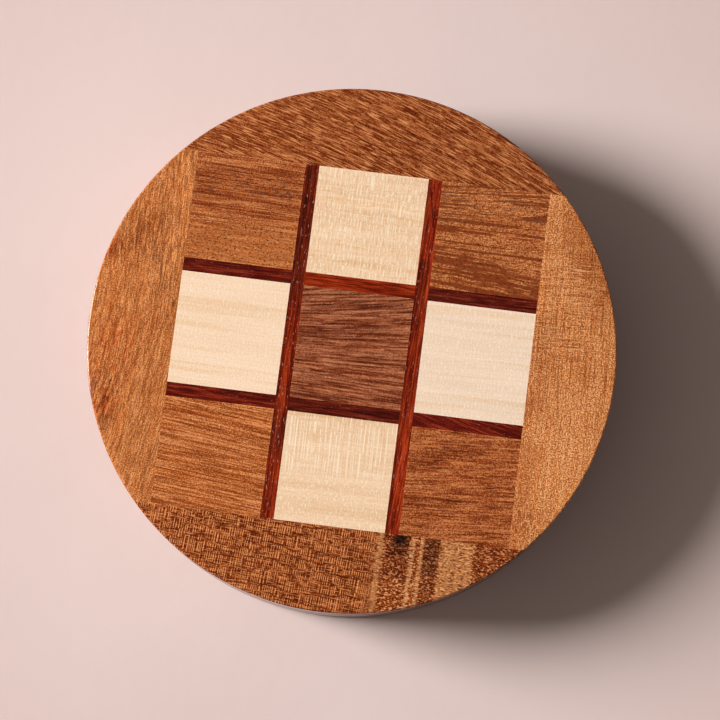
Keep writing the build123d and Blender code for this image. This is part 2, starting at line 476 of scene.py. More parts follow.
@dataclass(frozen=True)
class WoodFinish:
    """A lacquered wood with its own figure.

    The ground is a mix of fine lines, broad lines and specks, read through five tones from dark to light.
    Lines are given by their length, spacing and share, and specks by their size and share. A wave has a
    height and a length. A joint has the left, right, front and back edges of its rectangle.
    """

    name: str
    slot: str
    tones: Tones
    centre: Spot = (0.0, 0.0)
    turn: float = 0.0
    bend: float = 0.0
    fan: float = 0.0
    wave: tuple[float, float] = (0.15, 25.0)
    fine: tuple[float, float, float] = (5.0, 0.38, 0.55)
    broad: tuple[float, float, float] = (24.0, 0.9, 0.3)
    specks: tuple[float, float] = (0.38, 0.75)
    gain: float = 3.4
    seed: float = 0.0
    marks: tuple[Marks, ...] = ()
    joint: tuple[float, float, float, float] | None = None
    joint_gain: float = 1.25
    cover: float = 0.8
    coat_roughness: float = 0.05
    relief: float = 0.02
    # How much the eased edges are tinted: above 0 lighter, below 0 darker. On the borders the darkening is
    # painted shade along the rim.
    edge_wear_and_shade: float = 0.0

    def material(self, effects: Effects) -> Material:
        """Builds the material.

        Args:
            effects: The shared shader groups.

        Returns:
            The material.
        """
        made = bpy.data.materials.new(self.name)
        made.use_nodes = True
        w = Wiring(made.node_tree)
        shader = made.node_tree.nodes["Principled BSDF"]
        coordinates = w.add("ShaderNodeTexCoord")
        board = w.vector("MULTIPLY", coordinates.outputs["Object"], (1000, 1000, 1000))
        grain = w.group(
            effects.grain, board=board, centre=(*self.centre, 0), turn=math.radians(self.turn),
            bend=self.bend, fan=self.fan, wave_height=self.wave[0], wave_length=self.wave[1], seed=self.seed,
        ).outputs[0]
        fine = w.group(effects.lines, grain=grain, length=self.fine[0], spacing=self.fine[1])
        broad = w.group(effects.lines, grain=grain, length=self.broad[0], spacing=self.broad[1])
        speck = w.noise(w.vector("ADD", board, (self.seed * 3, 7, 3)), 1 / self.specks[0], 1.0)
        ground = w.math("MULTIPLY", fine.outputs["Value"], self.fine[2])
        ground = w.math("MULTIPLY_ADD", broad.outputs["Value"], self.broad[2], ground)
        ground = w.math("MULTIPLY_ADD", speck, self.specks[1], ground)
        total = self.fine[2] + self.broad[2] + self.specks[1]
        ground = w.math("MULTIPLY_ADD", ground, self.gain, 0.5 - 0.5 * self.gain * total)
        colour = w.ramp(ground, tuple(zip(GROUND_STOPS, self.tones)))
        for layer in self.marks:
            colour = self._lay(w, effects, layer, board, grain, colour)
        if self.joint:
            x0, x1, y0, y1 = self.joint
            line = w.group(
                effects.joint, board=board, centre=((x0 + x1) / 2, (y0 + y1) / 2, 0),
                half=((x1 - x0) / 2, (y1 - y0) / 2, 0), width=0.35,
            )
            colour = w.mixed(line.outputs["Mask"], colour, (*[self.joint_gain] * 3, 1), Laying.TINT)
        # The eased edges are tinted here: on the borders this darkens the rim all round as painted shade, and
        # on the playing pieces it stands for wear.
        if self.edge_wear_and_shade:
            rub = w.group(effects.rub, board=board, tilt=coordinates.outputs["Normal"])
            colour = w.mixed(rub.outputs["Mask"], colour, (*[1 + self.edge_wear_and_shade] * 3, 1), Laying.TINT)
        lacquer = w.group(effects.lacquer, board=board, ground=ground, cover=self.cover)
        bump = w.add("ShaderNodeBump", {"Height": lacquer.outputs["Height"], "Distance": self.relief * MM})
        w.feed(shader.inputs["Base Color"], colour)
        w.feed(shader.inputs["Coat Weight"], lacquer.outputs["Cover"])
        w.feed(shader.inputs["Normal"], bump.outputs[0])
        w.feed(shader.inputs["Specular IOR Level"], 0.0)
        w.feed(shader.inputs["Coat Roughness"], self.coat_roughness)
        return made

    def _lay(
        self, w: Wiring, effects: Effects, layer: Marks, board: Feed, grain: Feed, colour: Feed
    ) -> Socket:
        """Lays one layer of marks over the colour so far.

        Args:
            w: The material's wiring.
            effects: The shared shader groups.
            layer: The marks.
            board: The place on the board.
            grain: The place in the grain.
            colour: The colour under the layer.

        Returns:
            The colour with the layer on it.
        """
        mask: Feed = layer.strength
        if not layer.plain:
            place = grain
            if layer.figure is Figure.ACROSS:
                x, y, z = w.parted(grain)
                place = w.joined(y, x, z)
            elif layer.figure is Figure.SPECKS:
                place = board
            place = w.vector("ADD", place, (layer.spacing * 91, layer.length * 37, 11))
            kind = effects.weave if layer.figure is Figure.WOVEN else effects.lines
            lines = w.group(
                kind, grain=place, length=layer.length, spacing=layer.spacing, low=layer.low,
                high=layer.low + layer.step,
            )
            mask = w.math("MULTIPLY", lines.outputs["Mask"], layer.strength)
        if layer.zone:
            mask = w.math("MULTIPLY", layer.zone.mask(w, effects, board), mask)
        amounts = (*layer.amounts, 1) if layer.laying is Laying.TINT else linear(layer.amounts)
        return w.mixed(mask, colour, amounts, layer.laying)


@dataclass(frozen=True)
class MetalFinish:
    """A turned or plated metal with fine tool marks and a little tarnish."""

    name: str
    slot: str
    bright: Tone
    dull: Tone
    axis: Point = (0.0, 0.0, 0.0)
    spacing: float = 0.2
    roughness: float = 0.28
    seed: float = 0.0

    def material(self, effects: Effects) -> Material:
        """Builds the material.

        Args:
            effects: The shared shader groups.

        Returns:
            The material.
        """
        made = bpy.data.materials.new(self.name)
        made.use_nodes = True
        w = Wiring(made.node_tree)
        shader = made.node_tree.nodes["Principled BSDF"]
        coordinates = w.add("ShaderNodeTexCoord")
        board = w.vector("MULTIPLY", coordinates.outputs["Object"], (1000, 1000, 1000))
        turned = w.group(effects.turned, board=board, axis=self.axis, spacing=self.spacing, seed=self.seed)
        rub = w.group(effects.rub, board=board, tilt=coordinates.outputs["Normal"]).outputs["Mask"]
        marks, cloud = turned.outputs["Marks"], turned.outputs["Cloud"]
        colour = w.mixed(w.spread(cloud, 0.35, 0.7), linear(self.bright), linear(self.dull))
        colour = w.mixed(w.math("MULTIPLY", rub, 0.5), colour, (1.25, 1.25, 1.25, 1), Laying.TINT)
        rough = w.math("MULTIPLY_ADD", w.math("SUBTRACT", marks, 0.5), 0.3, self.roughness)
        bump = w.add("ShaderNodeBump", {"Height": marks, "Distance": 0.004 * MM})
        w.feed(shader.inputs["Base Color"], colour)
        w.feed(shader.inputs["Metallic"], 1.0)
        w.feed(shader.inputs["Roughness"], w.math("MULTIPLY_ADD", cloud, 0.12, rough))
        w.feed(shader.inputs["Normal"], bump.outputs[0])
        return made


def nickel(name: str, centre: Spot, seed: float = 0.0) -> MetalFinish:
    """Returns bright nickel plate with turned marks round one axis."""
    return MetalFinish(name, "nickel", (212, 210, 204), (172, 170, 164), (*centre, 0.0), 0.12, 0.2, seed)


class Woods:
    """The woods of the box: one finish for each piece of the inlay, and those of the box and its pieces."""

    BROWN = ((114, 47, 17), (139, 67, 31), (157, 85, 46), (176, 104, 60), (200, 127, 79))
    CREAM = ((224, 184, 143), (234, 196, 158), (240, 203, 166), (246, 211, 175), (255, 226, 194))
    PALE = ((234, 201, 168), (239, 206, 174), (242, 211, 180), (245, 215, 184), (250, 221, 191))
    MAROON = ((58, 6, 1), (75, 12, 3), (89, 18, 5), (103, 25, 9), (128, 43, 25))
    FLAME = ((88, 15, 1), (118, 27, 3), (137, 37, 5), (152, 45, 9), (170, 62, 24))

    @staticmethod
    def streaks(strength: float, length: float, spacing: float, low: float) -> Marks:
        """The long dark streaks of the brown woods, with crisp edges."""
        return Marks((0.64, 0.47, 0.38), strength, length=length, spacing=spacing, low=low, step=0.035)

    @staticmethod
    def grit(strength: float = 0.8, length: float = 1.3) -> tuple[Marks, ...]:
        """Redder streaks, and the short crisp dashes, dark and light, that every brown wood here has."""
        red = Marks((1.0, 0.86, 0.72), 0.7, length=12 * length, spacing=0.9, low=0.5, step=0.08)
        dark = Marks((0.56, 0.44, 0.36), strength, length=length, spacing=0.46, low=0.57)
        light = Marks((1.38, 1.5, 1.6), 0.8 * strength, length=length * 1.2, spacing=0.42, low=0.58)
        return red, dark, light

    @staticmethod
    def pores(strength: float = 0.8, length: float = 1.4, low: float = 0.66) -> Marks:
        """The open pores: short dark dashes."""
        return over((84, 46, 26), strength, length=length, spacing=0.34, low=low)

    @staticmethod
    def painted_pore_glints(strength: float = 0.7, low: float = 0.66) -> Marks:
        """Short pale spots in the red strips: painted glints of light off the lacquer over open pores."""
        return over((186, 128, 118), strength, length=1.5, spacing=0.36, low=low, step=0.06)

    def brown_tiles(self) -> dict[str, WoodFinish]:
        """The four brown corner tiles and the darker one in the middle.

        Returns:
            Finishes by the name of the node.
        """
        brown = WoodFinish("brown", "brown_tile", self.BROWN)
        return {
            "tile_back_left": replace(
                brown, name="brown back left", centre=(-35.65, 36.0), turn=-1.0, seed=1.0,
                tones=((132, 59, 22), (158, 82, 39), (175, 98, 53), (192, 114, 65), (214, 138, 84)),
                fine=(12.0, 0.4, 0.6), specks=(0.36, 0.65), gain=3.8,
                marks=(
                    shade((0.84, 0.76, 0.72), Zone((-35, 42), (18, 6), soft=4, ragged=2)),
                    replace(self.streaks(0.8, 14.0, 0.5, 0.54), zone=Zone((-35, 42), (18, 9), soft=3)),
                    over(
                        (200, 120, 64), 0.55, length=14.0, spacing=0.45, low=0.58,
                        zone=Zone((-35, 40), (18, 9), soft=3),
                    ),
                    over(
                        (92, 54, 40), 0.8, length=2.0, spacing=0.42, low=0.57, step=0.04,
                        zone=Zone((-35, 44), (18, 4), soft=3, ragged=1.5),
                    ),
                    over(
                        (192, 114, 60), 0.55, plain=True, zone=Zone((-35, 25), (18, 6), soft=3, ragged=1.5),
                    ),
                    *self.grit(0.7, 0.8),
                    over(
                        (84, 38, 16), 0.95, length=0.75, spacing=0.45, low=0.6, step=0.03,
                        zone=Zone((-35, 26), (18, 7), soft=3, ragged=1.5),
                    ),
                ),
                joint=(-56, -19.95, 20.3, 60),
            ),
            "tile_back_right": replace(
                brown, name="brown back right", centre=(35.65, 37.0), fan=0.0065, seed=2.0,
                tones=((134, 64, 26), (158, 86, 42), (175, 101, 56), (190, 117, 68), (210, 138, 84)),
                fine=(2.4, 0.38, 0.4), broad=(30.0, 1.5, 0.1), specks=(0.38, 0.7),
                marks=(
                    over((122, 54, 21), 0.9, length=26.0, spacing=0.9, low=0.525, step=0.025),
                    over(
                        (106, 66, 44), 0.6, length=14.0, spacing=0.45, low=0.55,
                        zone=Zone((36, 46), (17, 5), turn=3, soft=3),
                    ),
                    over(
                        (126, 56, 22), 0.85, length=8.0, spacing=0.7, low=0.44, step=0.03,
                        zone=Zone((41, 24), (15, 4), turn=-13, soft=1.5, ragged=2.2),
                    ),
                    *self.grit(0.9, 1.1),
                ),
                joint=(19.95, 56, 20.3, 60),
            ),
            "tile_front_left": replace(
                brown, name="brown front left", centre=(-35.65, -36.0), turn=-5.0, seed=3.0,
                tones=((140, 66, 23), (166, 89, 42), (183, 103, 53), (199, 119, 66), (222, 145, 88)),
                fine=(11.0, 0.36, 0.65), broad=(26.0, 0.8, 0.3), specks=(0.36, 0.6), gain=3.8,
                marks=(
                    Marks((0.74, 0.6, 0.5), 0.9, length=9.0, spacing=0.45, low=0.57),
                    *self.grit(0.7, 1.0),
                    self.pores(0.65, 0.9, 0.64),
                ),
                joint=(-56, -19.95, -60, -20.3),
            ),
            "tile_front_right": replace(
                brown, name="brown front right", centre=(35.65, -36.0), turn=4.0, seed=4.0,
                tones=((119, 51, 18), (147, 72, 33), (165, 90, 47), (182, 106, 59), (204, 127, 75)),
                fine=(8.0, 0.38, 0.55), broad=(24.0, 1.0, 0.3), specks=(0.38, 0.6),
                marks=(
                    *self.grit(0.6, 1.3),
                    self.streaks(0.8, 9.0, 0.7, 0.57),
                    *(
                        Marks(
                            (0.62, 0.48, 0.42), 0.85, length=6.0, spacing=0.7, low=0.43,
                            zone=Zone(centre, half, turn=5, soft=1.6, ragged=1),
                        )
                        for centre, half in (((36, -25), (8, 2)), ((25.5, -30), (5, 3)), ((28, -41), (8, 2)))
                    ),
                ),
                joint=(19.95, 56, -60, -20.3),
            ),
            "tile_middle_middle": replace(
                brown, name="walnut middle", slot="walnut", centre=(0, -8), fan=0.008, seed=5.0,
                tones=((96, 40, 19), (121, 57, 31), (140, 74, 45), (160, 92, 60), (188, 118, 82)),
                fine=(9.0, 0.4, 0.65), broad=(24.0, 0.9, 0.3), specks=(0.38, 0.35), gain=3.2,
                marks=(
                    self.streaks(0.75, 18.0, 0.9, 0.56),
                    *self.grit(0.7, 2.4),
                    over((190, 120, 82), 0.6, length=9.0, spacing=0.42, low=0.62),
                    Marks(
                        (0.66, 0.66, 0.7), 0.8, length=16.0, spacing=1.0, low=0.42, step=0.08,
                        zone=Zone((-4, 13.5), (16, 3), turn=7, soft=2),
                    ),
                    Marks(
                        (0.74, 0.74, 0.76), 0.7, length=12.0, spacing=1.0, low=0.42, step=0.08,
                        zone=Zone((-4, 5), (18, 2), turn=9, soft=2),
                    ),
                ),
                joint=(-15.95, 15.95, -16.3, 16.3),
            ),
        }

    def pale_tiles(self) -> dict[str, WoodFinish]:
        """The four maple tiles, two of them with a flame across the grain.

        Returns:
            Finishes by the name of the node.
        """
        maple = WoodFinish(
            "maple", "maple", self.PALE, fine=(12.0, 0.45, 0.2), broad=(80.0, 2.6, 0.3),
            specks=(0.36, 0.45), gain=2.6, wave=(0.3, 22.0), joint_gain=1.03, relief=0.008,
        )
        growth = Marks((0.94, 0.86, 0.75), 0.75, length=70.0, spacing=1.6, low=0.56, step=0.12)
        light = over((255, 236, 209), 0.65, Figure.WOVEN, length=2.4, spacing=1.0, low=0.2, step=0.75)
        dark = Marks((0.92, 0.84, 0.74), 0.8, Figure.ACROSS, length=3.0, spacing=0.5, low=0.54, step=0.08)
        upper = Zone((0, -28), (18, 9), soft=3, ragged=1.5)
        return {
            "tile_middle_left": replace(
                maple, name="maple left", centre=(-35.65, 0), seed=11.0, turn=-0.5, specks=(0.4, 0.6),
                marks=(
                    replace(growth, spacing=1.9, low=0.52, step=0.14),
                    replace(light, strength=0.4, length=1.3),
                ),
                tones=((234, 200, 164), (243, 210, 177), (247, 215, 183), (250, 219, 189), (255, 227, 199)),
                joint=(-51.35, -19.95, -16.3, 16.3),
            ),
            "tile_middle_right": replace(
                maple, name="maple right", centre=(35.65, 0), seed=12.0, turn=0.5, specks=(0.4, 0.5),
                marks=(
                    replace(growth, strength=0.75, spacing=1.9, low=0.52, step=0.14),
                    replace(light, amounts=(255, 238, 216), strength=0.45, length=1.3),
                ),
                tones=((231, 200, 171), (238, 209, 181), (242, 214, 187), (246, 219, 193), (252, 228, 203)),
                joint=(19.95, 51.35, -16.3, 16.3),
            ),
            "tile_back_middle": replace(
                maple, name="maple back", tones=self.CREAM, centre=(0, 36), seed=13.0, turn=-1.0,
                wave=(0.5, 10.0), marks=(growth, light, dark), joint=(-15.95, 15.95, 20.3, 51.7),
            ),
            "tile_front_middle": replace(
                maple, name="maple front", tones=self.CREAM, centre=(0, -36), seed=14.0, turn=1.0,
                marks=(
                    growth,
                    replace(light, strength=0.8, length=11.0, zone=upper),
                    replace(dark, length=12.0, zone=upper),
                    over(
                        (255, 236, 208), 0.6, Figure.ACROSS, length=1.4, spacing=0.4, low=0.57, step=0.07,
                        zone=Zone((0, -45), (18, 8), soft=3),
                    ),
                ),
                joint=(-15.95, 15.95, -51.7, -20.3),
            ),
        }

    def strips(self) -> dict[str, WoodFinish]:
        """The red strips: two long ones that turn from maroon to orange red, and six short ones.

        Returns:
            Finishes by the name of the node.
        """
        red = WoodFinish(
            "red", "red_strip", self.MAROON, fine=(6.0, 0.38, 0.55), broad=(24.0, 1.0, 0.4),
            specks=(0.4, 0.2), relief=0.03,
        )
        found = {}
        # Every short strip gets pale spots that are painted glints of light off the lacquer in its pores.
        for column, x in (("left", -35.65), ("middle", 0.0), ("right", 35.65)):
            for row, y in (("front", -18.3), ("back", 18.3)):
                found[f"short_strip_{row}_{column}"] = replace(
                    red, name=f"red {row} {column}", centre=(x, y), seed=20 + x / 10 + y / 50,
                    marks=(self.painted_pore_glints(0.3, 0.68),),
                )
        found["short_strip_back_middle"] = replace(
            found["short_strip_back_middle"], tones=self.FLAME, turn=-1.5,
            marks=(
                Marks(
                    (0.5, 0.4, 0.5), 0.9, length=40.0, spacing=1.0, low=0.5, step=0.1,
                    zone=Zone((0, 17.2), (17, 0.5), turn=-2, soft=0.4, ragged=0.2),
                ),
            ),
        )
        # This strip keeps its pale spots, painted glints off the lacquer in the pores, as on the other
        # strips.
        found["short_strip_back_left"] = replace(
            found["short_strip_back_left"],
            marks=(
                self.painted_pore_glints(0.3, 0.67),
                Marks(
                    (1.7, 1.5, 1.1), 0.8, length=16.0, spacing=0.9, low=0.45, step=0.15,
                    zone=Zone((-25, 18.3), (6, 3), soft=4),
                ),
            ),
        )
        found["short_strip_front_right"] = replace(
            found["short_strip_front_right"], turn=-14.0, tones=lighter(self.MAROON, 1.13),
        )
        for name, share in (("front_left", 1.14), ("back_right", 0.92), ("front_middle", 0.94)):
            strip = found[f"short_strip_{name}"]
            found[f"short_strip_{name}"] = replace(strip, tones=lighter(self.MAROON, share))
        # The long strips also carry pale spots that are painted glints off the lacquer in the pores.
        for side, x, turn, seed in (("left", -17.95, 90.5, 31.0), ("right", 17.95, 88.0, 34.0)):
            dark = Marks((0.55, 0.5, 0.6), 0.8, length=40.0, spacing=1.1, low=0.52, step=0.08)
            found[f"long_strip_{side}"] = replace(
                red, name=f"red long {side}", tones=self.FLAME, centre=(x, 0), turn=turn, seed=seed,
                marks=(dark, self.painted_pore_glints(0.75 if side == "left" else 0.45, 0.64)),
            )
        left, right = found["long_strip_left"], found["long_strip_right"]
        found["long_strip_left"] = replace(
            left,
            marks=(
                shade((0.5, 0.6, 0.9), Zone((-18, 33), (4, 21), soft=7, ragged=1.5)),
                shade((0.62, 0.66, 0.9), Zone((-18, -27), (4, 6), soft=4, ragged=1.0)),
                shade((0.6, 0.6, 0.8), Zone((-19.5, -8), (0.5, 60), turn=-0.6, soft=0.5, ragged=0.2)),
                *left.marks,
            ),
        )
        found["long_strip_right"] = replace(
            right, tones=lighter(self.FLAME, 1.04),
            marks=(
                shade((0.6, 0.66, 0.85), Zone((17.4, 18), (1.2, 10), turn=-3, soft=0.8, ragged=0.3)),
                shade((0.5, 0.5, 0.6), Zone((16.4, -22), (0.3, 30), soft=0.4, ragged=0.1)),
                shade((0.3, 0.35, 0.7), Zone((17.9, 43.5), (0.16, 6), turn=11, soft=0.12, ragged=0.03)),
                *right.marks,
            ),
        )
        return found

    def borders(self) -> dict[Edge, WoodFinish]:
        """The four border segments, each cut from another board.

        Returns:
            Finishes by the side of the board.
        """
        # The borders' eased rims are darkened by half all round: painted shade along the rim.
        border = WoodFinish("border", "border_red_brown", self.BROWN, edge_wear_and_shade=-0.5)
        golden = ((146, 76, 32), (174, 100, 50), (189, 114, 61), (204, 128, 73), (224, 150, 93))
        return {
            Edge.BACK: replace(
                border, name="border back", centre=(0, 64), turn=-19.0, bend=0.0012, wave=(0.15, 20.0),
                tones=((102, 36, 8), (128, 56, 20), (144, 71, 31), (161, 86, 42), (188, 113, 64)),
                fine=(6.5, 0.36, 0.65), broad=(16.0, 1.4, 0.2), specks=(0.38, 0.45), seed=41.0,
                marks=(
                    Marks((0.62, 0.44, 0.32), 0.8, length=4.5, spacing=0.38, low=0.54),
                    over((212, 138, 84), 0.95, length=4.4, spacing=0.36, low=0.57, step=0.04),
                    Marks((0.76, 0.62, 0.52), 0.7, length=4.0, spacing=1.5, low=0.57, step=0.07),
                ),
            ),
            Edge.LEFT: replace(
                border, name="border left", slot="border_golden_brown", centre=(-62, 0), turn=86.0,
                bend=-0.0012, tones=golden, fine=(4.0, 0.36, 0.5), broad=(26.0, 1.2, 0.15),
                specks=(0.36, 0.65), seed=42.0,
                marks=(
                    *self.grit(0.6, 1.2),
                    over((118, 70, 40), 0.65, length=4.0, spacing=0.36, low=0.6),
                    Marks(
                        (0.58, 0.5, 0.5), 0.85, length=5.0, spacing=0.6, low=0.48, step=0.08,
                        zone=Zone((-66, 26), (9, 8), soft=4, ragged=2),
                    ),
                    Marks(
                        (0.52, 0.44, 0.46), 0.8, length=3.4, spacing=0.8, low=0.5, step=0.08,
                        zone=Zone((-70, -24), (5, 9), turn=-12, soft=3, ragged=2),
                    ),
                    Marks(
                        (0.86, 0.42, 0.24), 0.8, length=2.4, spacing=0.5, low=0.55,
                        zone=Zone((-69, -14), (6, 16), turn=-10, soft=4, ragged=2),
                    ),
                    *(
                        Marks(
                            (0.8, 0.46, 0.34), 0.85, length=3.0, spacing=0.8, low=0.42, step=0.08,
                            zone=Zone(centre, half, turn=-14, soft=1.6, ragged=1.2),
                        )
                        for centre, half in (
                            ((-72.5, 20), (1.5, 3)), ((-71, -6), (1.6, 3)), ((-68, -25), (2, 3)),
                        )
                    ),
                    over(
                        (100, 58, 36), 0.75, length=9.0, spacing=0.36, low=0.58,
                        zone=Zone((-55, 26), (4, 28), soft=3, ragged=2),
                    ),
                    shade((1.16, 1.2, 1.22), Zone((-53.8, 36), (2.4, 20), soft=1.4)),
                ),
            ),
            Edge.RIGHT: replace(
                border, name="border right", slot="border_golden_brown", centre=(62, 0), turn=92.0,
                tones=((170, 95, 44), (198, 123, 69), (215, 141, 85), (231, 158, 100), (248, 180, 122)),
                fine=(1.6, 0.38, 0.35), broad=(30.0, 1.0, 0.12), specks=(0.4, 0.85), gain=3.4, seed=43.0,
                marks=(
                    shade((0.72, 0.6, 0.5), Zone((68, 36), (8, 16), turn=25, soft=6, ragged=2)),
                    *self.grit(0.5, 0.9),
                    Marks(
                        (0.64, 0.47, 0.32), 0.85, length=16.0, spacing=0.36, low=0.55,
                        zone=Zone((62, 12), (16, 28), soft=6, ragged=2),
                    ),
                    Marks(
                        (0.64, 0.47, 0.32), 0.8, Figure.ACROSS, length=9.0, spacing=0.36, low=0.56,
                        zone=Zone((60, 20), (12, 20), soft=5, ragged=2),
                    ),
                    Marks(
                        (0.58, 0.4, 0.24), 0.8, Figure.SPECKS, length=0.6, spacing=0.4, low=0.6,
                        zone=Zone((62, -32), (16, 22), soft=6, ragged=2),
                    ),
                    over(
                        (238, 172, 116), 0.75, Figure.ACROSS, length=7.0, spacing=0.36, low=0.59,
                        zone=Zone((60, 20), (9, 13), soft=4, ragged=2),
                    ),
                    shade((0.84, 0.8, 0.78), Zone((54.5, 2), (3, 14), soft=4, ragged=2)),
                    shade((0.82, 0.7, 0.62), Zone((53, -38), (3, 16), turn=-4, soft=3.5, ragged=2)),
                    Marks(
                        (0.62, 0.48, 0.4), 0.8, length=1.6, spacing=0.6, low=0.52, step=0.06,
                        zone=Zone((55, -46), (5, 7), turn=-8, soft=3, ragged=2),
                    ),
                    shade((1.04, 1.06, 1.06), Zone((64, -22), (7, 16), turn=-10, soft=5, ragged=2)),
                ),
            ),
            Edge.FRONT: self._front_border(border),
        }

    def _front_border(self, border: WoodFinish) -> WoodFinish:
        """The front segment: woven figure on the left, and bands of sapwood and heartwood on the right.

        Args:
            border: What all four segments share.

        Returns:
            The finish.
        """

        def patch(
            x0: float, x1: float, y0: float, y1: float, amounts: Tone, soft: float = 0.35, cover: float = 0.0
        ) -> Marks:
            """A band or patch between two places from left to right and two from front to back."""
            zone = Zone(
                ((x0 + x1) / 2, (y0 + y1) / 2), ((x1 - x0) / 2, (y1 - y0) / 2), turn=-1, soft=soft,
                ragged=0.15,
            )
            return Marks(
                amounts, cover or 1.0, laying=Laying.COVER if cover else Laying.TINT, plain=True, zone=zone,
            )

        woven = Zone((-22, -64), (36, 20), soft=3)
        rows = Zone((46, -64), (32, 20), soft=3)
        return replace(
            border, name="border front", slot="border_dark_brown", centre=(0, -64), turn=-4.0,
            wave=(0.2, 12.0),
            tones=((88, 25, 0), (117, 43, 8), (137, 59, 18), (161, 79, 31), (194, 113, 59)),
            fine=(2.4, 0.4, 0.4), broad=(12.0, 2.4, 0.15), specks=(0.38, 0.55), gain=3.6, seed=44.0,
            marks=(
                patch(14.2, 15.7, -90, -40, (216, 150, 92), cover=0.6),
                patch(23.6, 24.8, -90, -40, (230, 166, 110), 0.3, 0.6),
                patch(26.2, 27.3, -90, -40, (222, 154, 98), 0.3, 0.55),
                patch(32.1, 41.5, -90, -40, (220, 150, 92), 0.5, 0.55),
                over((93, 27, 1), 0.9, length=7.0, spacing=0.36, low=0.48, step=0.06, zone=woven),
                over(
                    (232, 148, 88), 0.95, Figure.WOVEN, length=3.0, spacing=0.64, low=0.1, step=0.7,
                    zone=woven,
                ),
                over((86, 24, 0), 0.85, length=8.0, spacing=0.32, low=0.56, zone=woven),
                over((218, 138, 80), 0.8, length=3.4, spacing=0.34, low=0.6, zone=woven),
                over((90, 32, 6), 0.85, length=1.4, spacing=0.4, low=0.53, zone=rows),
                over((238, 164, 106), 0.95, length=0.8, spacing=0.42, low=0.56, zone=rows),
                patch(16.0, 23.4, -64, -40, (0.66, 0.56, 0.52), 1.6),
                patch(18.6, 23.0, -57.5, -40, (0.5, 0.46, 0.46), 1.4),
                patch(19.2, 22.6, -54.4, -40, (0.14, 0.14, 0.16), 1.0),
                patch(27.5, 31.9, -90, -40, (0.74, 0.68, 0.68), 0.2),
                patch(27.7, 31.9, -62, -40, (0.6, 0.6, 0.64), 0.9),
                patch(42.5, 60, -90, -40, (0.78, 0.66, 0.6), 1.0),
            ),
        )

    def body(self) -> WoodFinish:
        """The reddish wood of the base and of the lid's backer."""
        return WoodFinish(
            "mahogany lid", "mahogany",
            ((72, 32, 18), (90, 43, 25), (106, 53, 31), (122, 65, 39), (146, 84, 53)), turn=2.0,
            wave=(0.8, 30.0), fine=(11.0, 0.45, 0.45), broad=(60.0, 2.0, 0.3), specks=(0.4, 0.3), gain=2.6,
            seed=51.0, marks=(self.pores(0.7, 2.4, 0.64),),
        )

    def cross(self, centre: Spot, number: int) -> WoodFinish:
        """The dark wood of one cross, with its own grain."""
        return WoodFinish(
            f"walnut cross {number}", "walnut",
            ((70, 38, 25), (90, 51, 33), (106, 62, 41), (124, 75, 51), (146, 93, 64)), centre=centre,
            turn=40.0 + 9 * number, wave=(0.5, 14.0), fine=(7.0, 0.4, 0.5), broad=(26.0, 1.8, 0.4),
            specks=(0.4, 0.12), seed=60.0 + 3 * number, edge_wear_and_shade=0.3, marks=(self.pores(0.7, 1.8, 0.64),),
        )

    def ring(self, centre: Spot, number: int) -> WoodFinish:
        """The pale wood of one ring, with its own grain."""
        return WoodFinish(
            f"maple ring {number}", "maple", self.CREAM, centre=centre, turn=15.0 * number,
            wave=(0.5, 18.0), fine=(9.0, 0.5, 0.4), broad=(50.0, 2.2, 0.4), specks=(0.4, 0.3), gain=2.6,
            seed=80.0 + 3 * number, edge_wear_and_shade=-0.12, relief=0.008,
            marks=(Marks((0.93, 0.86, 0.76), 0.8, length=60.0, spacing=1.6, low=0.6, step=0.08),),
        )


class SolidShape:
    """A closed shape put together from loops of points."""

    def __init__(self) -> None:
        """Starts with no points and no faces."""
        self.points: list[Point] = []
        self.faces: list[tuple[Sequence[int], bool]] = []

    def loop(self, points: Sequence[Point]) -> list[int]:
        """Adds the points of one loop and returns their numbers."""
        start = len(self.points)
        self.points.extend(points)
        return list(range(start, len(self.points)))

    def band(self, low: Sequence[int], high: Sequence[int]) -> None:
        """Joins two loops of equal length with a band of four-sided faces.

        Args:
            low: One loop.
            high: The other one.
        """
        for here in range(len(low)):
            after = (here + 1) % len(low)
            self.faces.append(((low[here], low[after], high[after], high[here]), True))

    def bands(self, loops: Sequence[Sequence[int]]) -> None:
        """Joins each loop to the next one."""
        for low, high in zip(loops, loops[1:]):
            self.band(low, high)

    def turned(
        self, profile: Sequence[tuple[float, float]], centre: Spot = (0.0, 0.0), count: int = TURNED_SIDES
    ) -> list[list[int]]:
        """Adds a turned wall.

        Args:
            profile: Radii and heights, one pair for each circle.
            centre: The axis.
            count: How many sides it has.

        Returns:
            The circles' loops, in the profile's order.
        """
        loops = [self.loop(circle(radius, height, centre, count)) for radius, height in profile]
        self.bands(loops)
        return loops

    def cap(self, outline: Sequence[int], holes: Sequence[Sequence[int]] = ()) -> None:
        """Closes a flat outline, leaving its holes open.

        Args:
            outline: The outer loop.
            holes: Loops inside it.
        """
        loops = [outline, *holes]
        numbers = [number for loop in loops for number in loop]
        for triangle in tessellate_polygon([[Vector(self.points[n]) for n in loop] for loop in loops]):
            self.faces.append((tuple(numbers[corner] for corner in triangle), False))

    def made(self, name: str) -> Piece:
        """Builds the object.

        Args:
            name: The piece's name.

        Returns:
            The object, at the origin and in metres.
        """
        mesh = bpy.data.meshes.new(name)
        mesh.from_pydata(
            [[value * MM for value in point] for point in self.points], [], [f for f, _ in self.faces],
        )
        for polygon, (_, smooth) in zip(mesh.polygons, self.faces):
            polygon.use_smooth = smooth
        return settled(name, mesh)


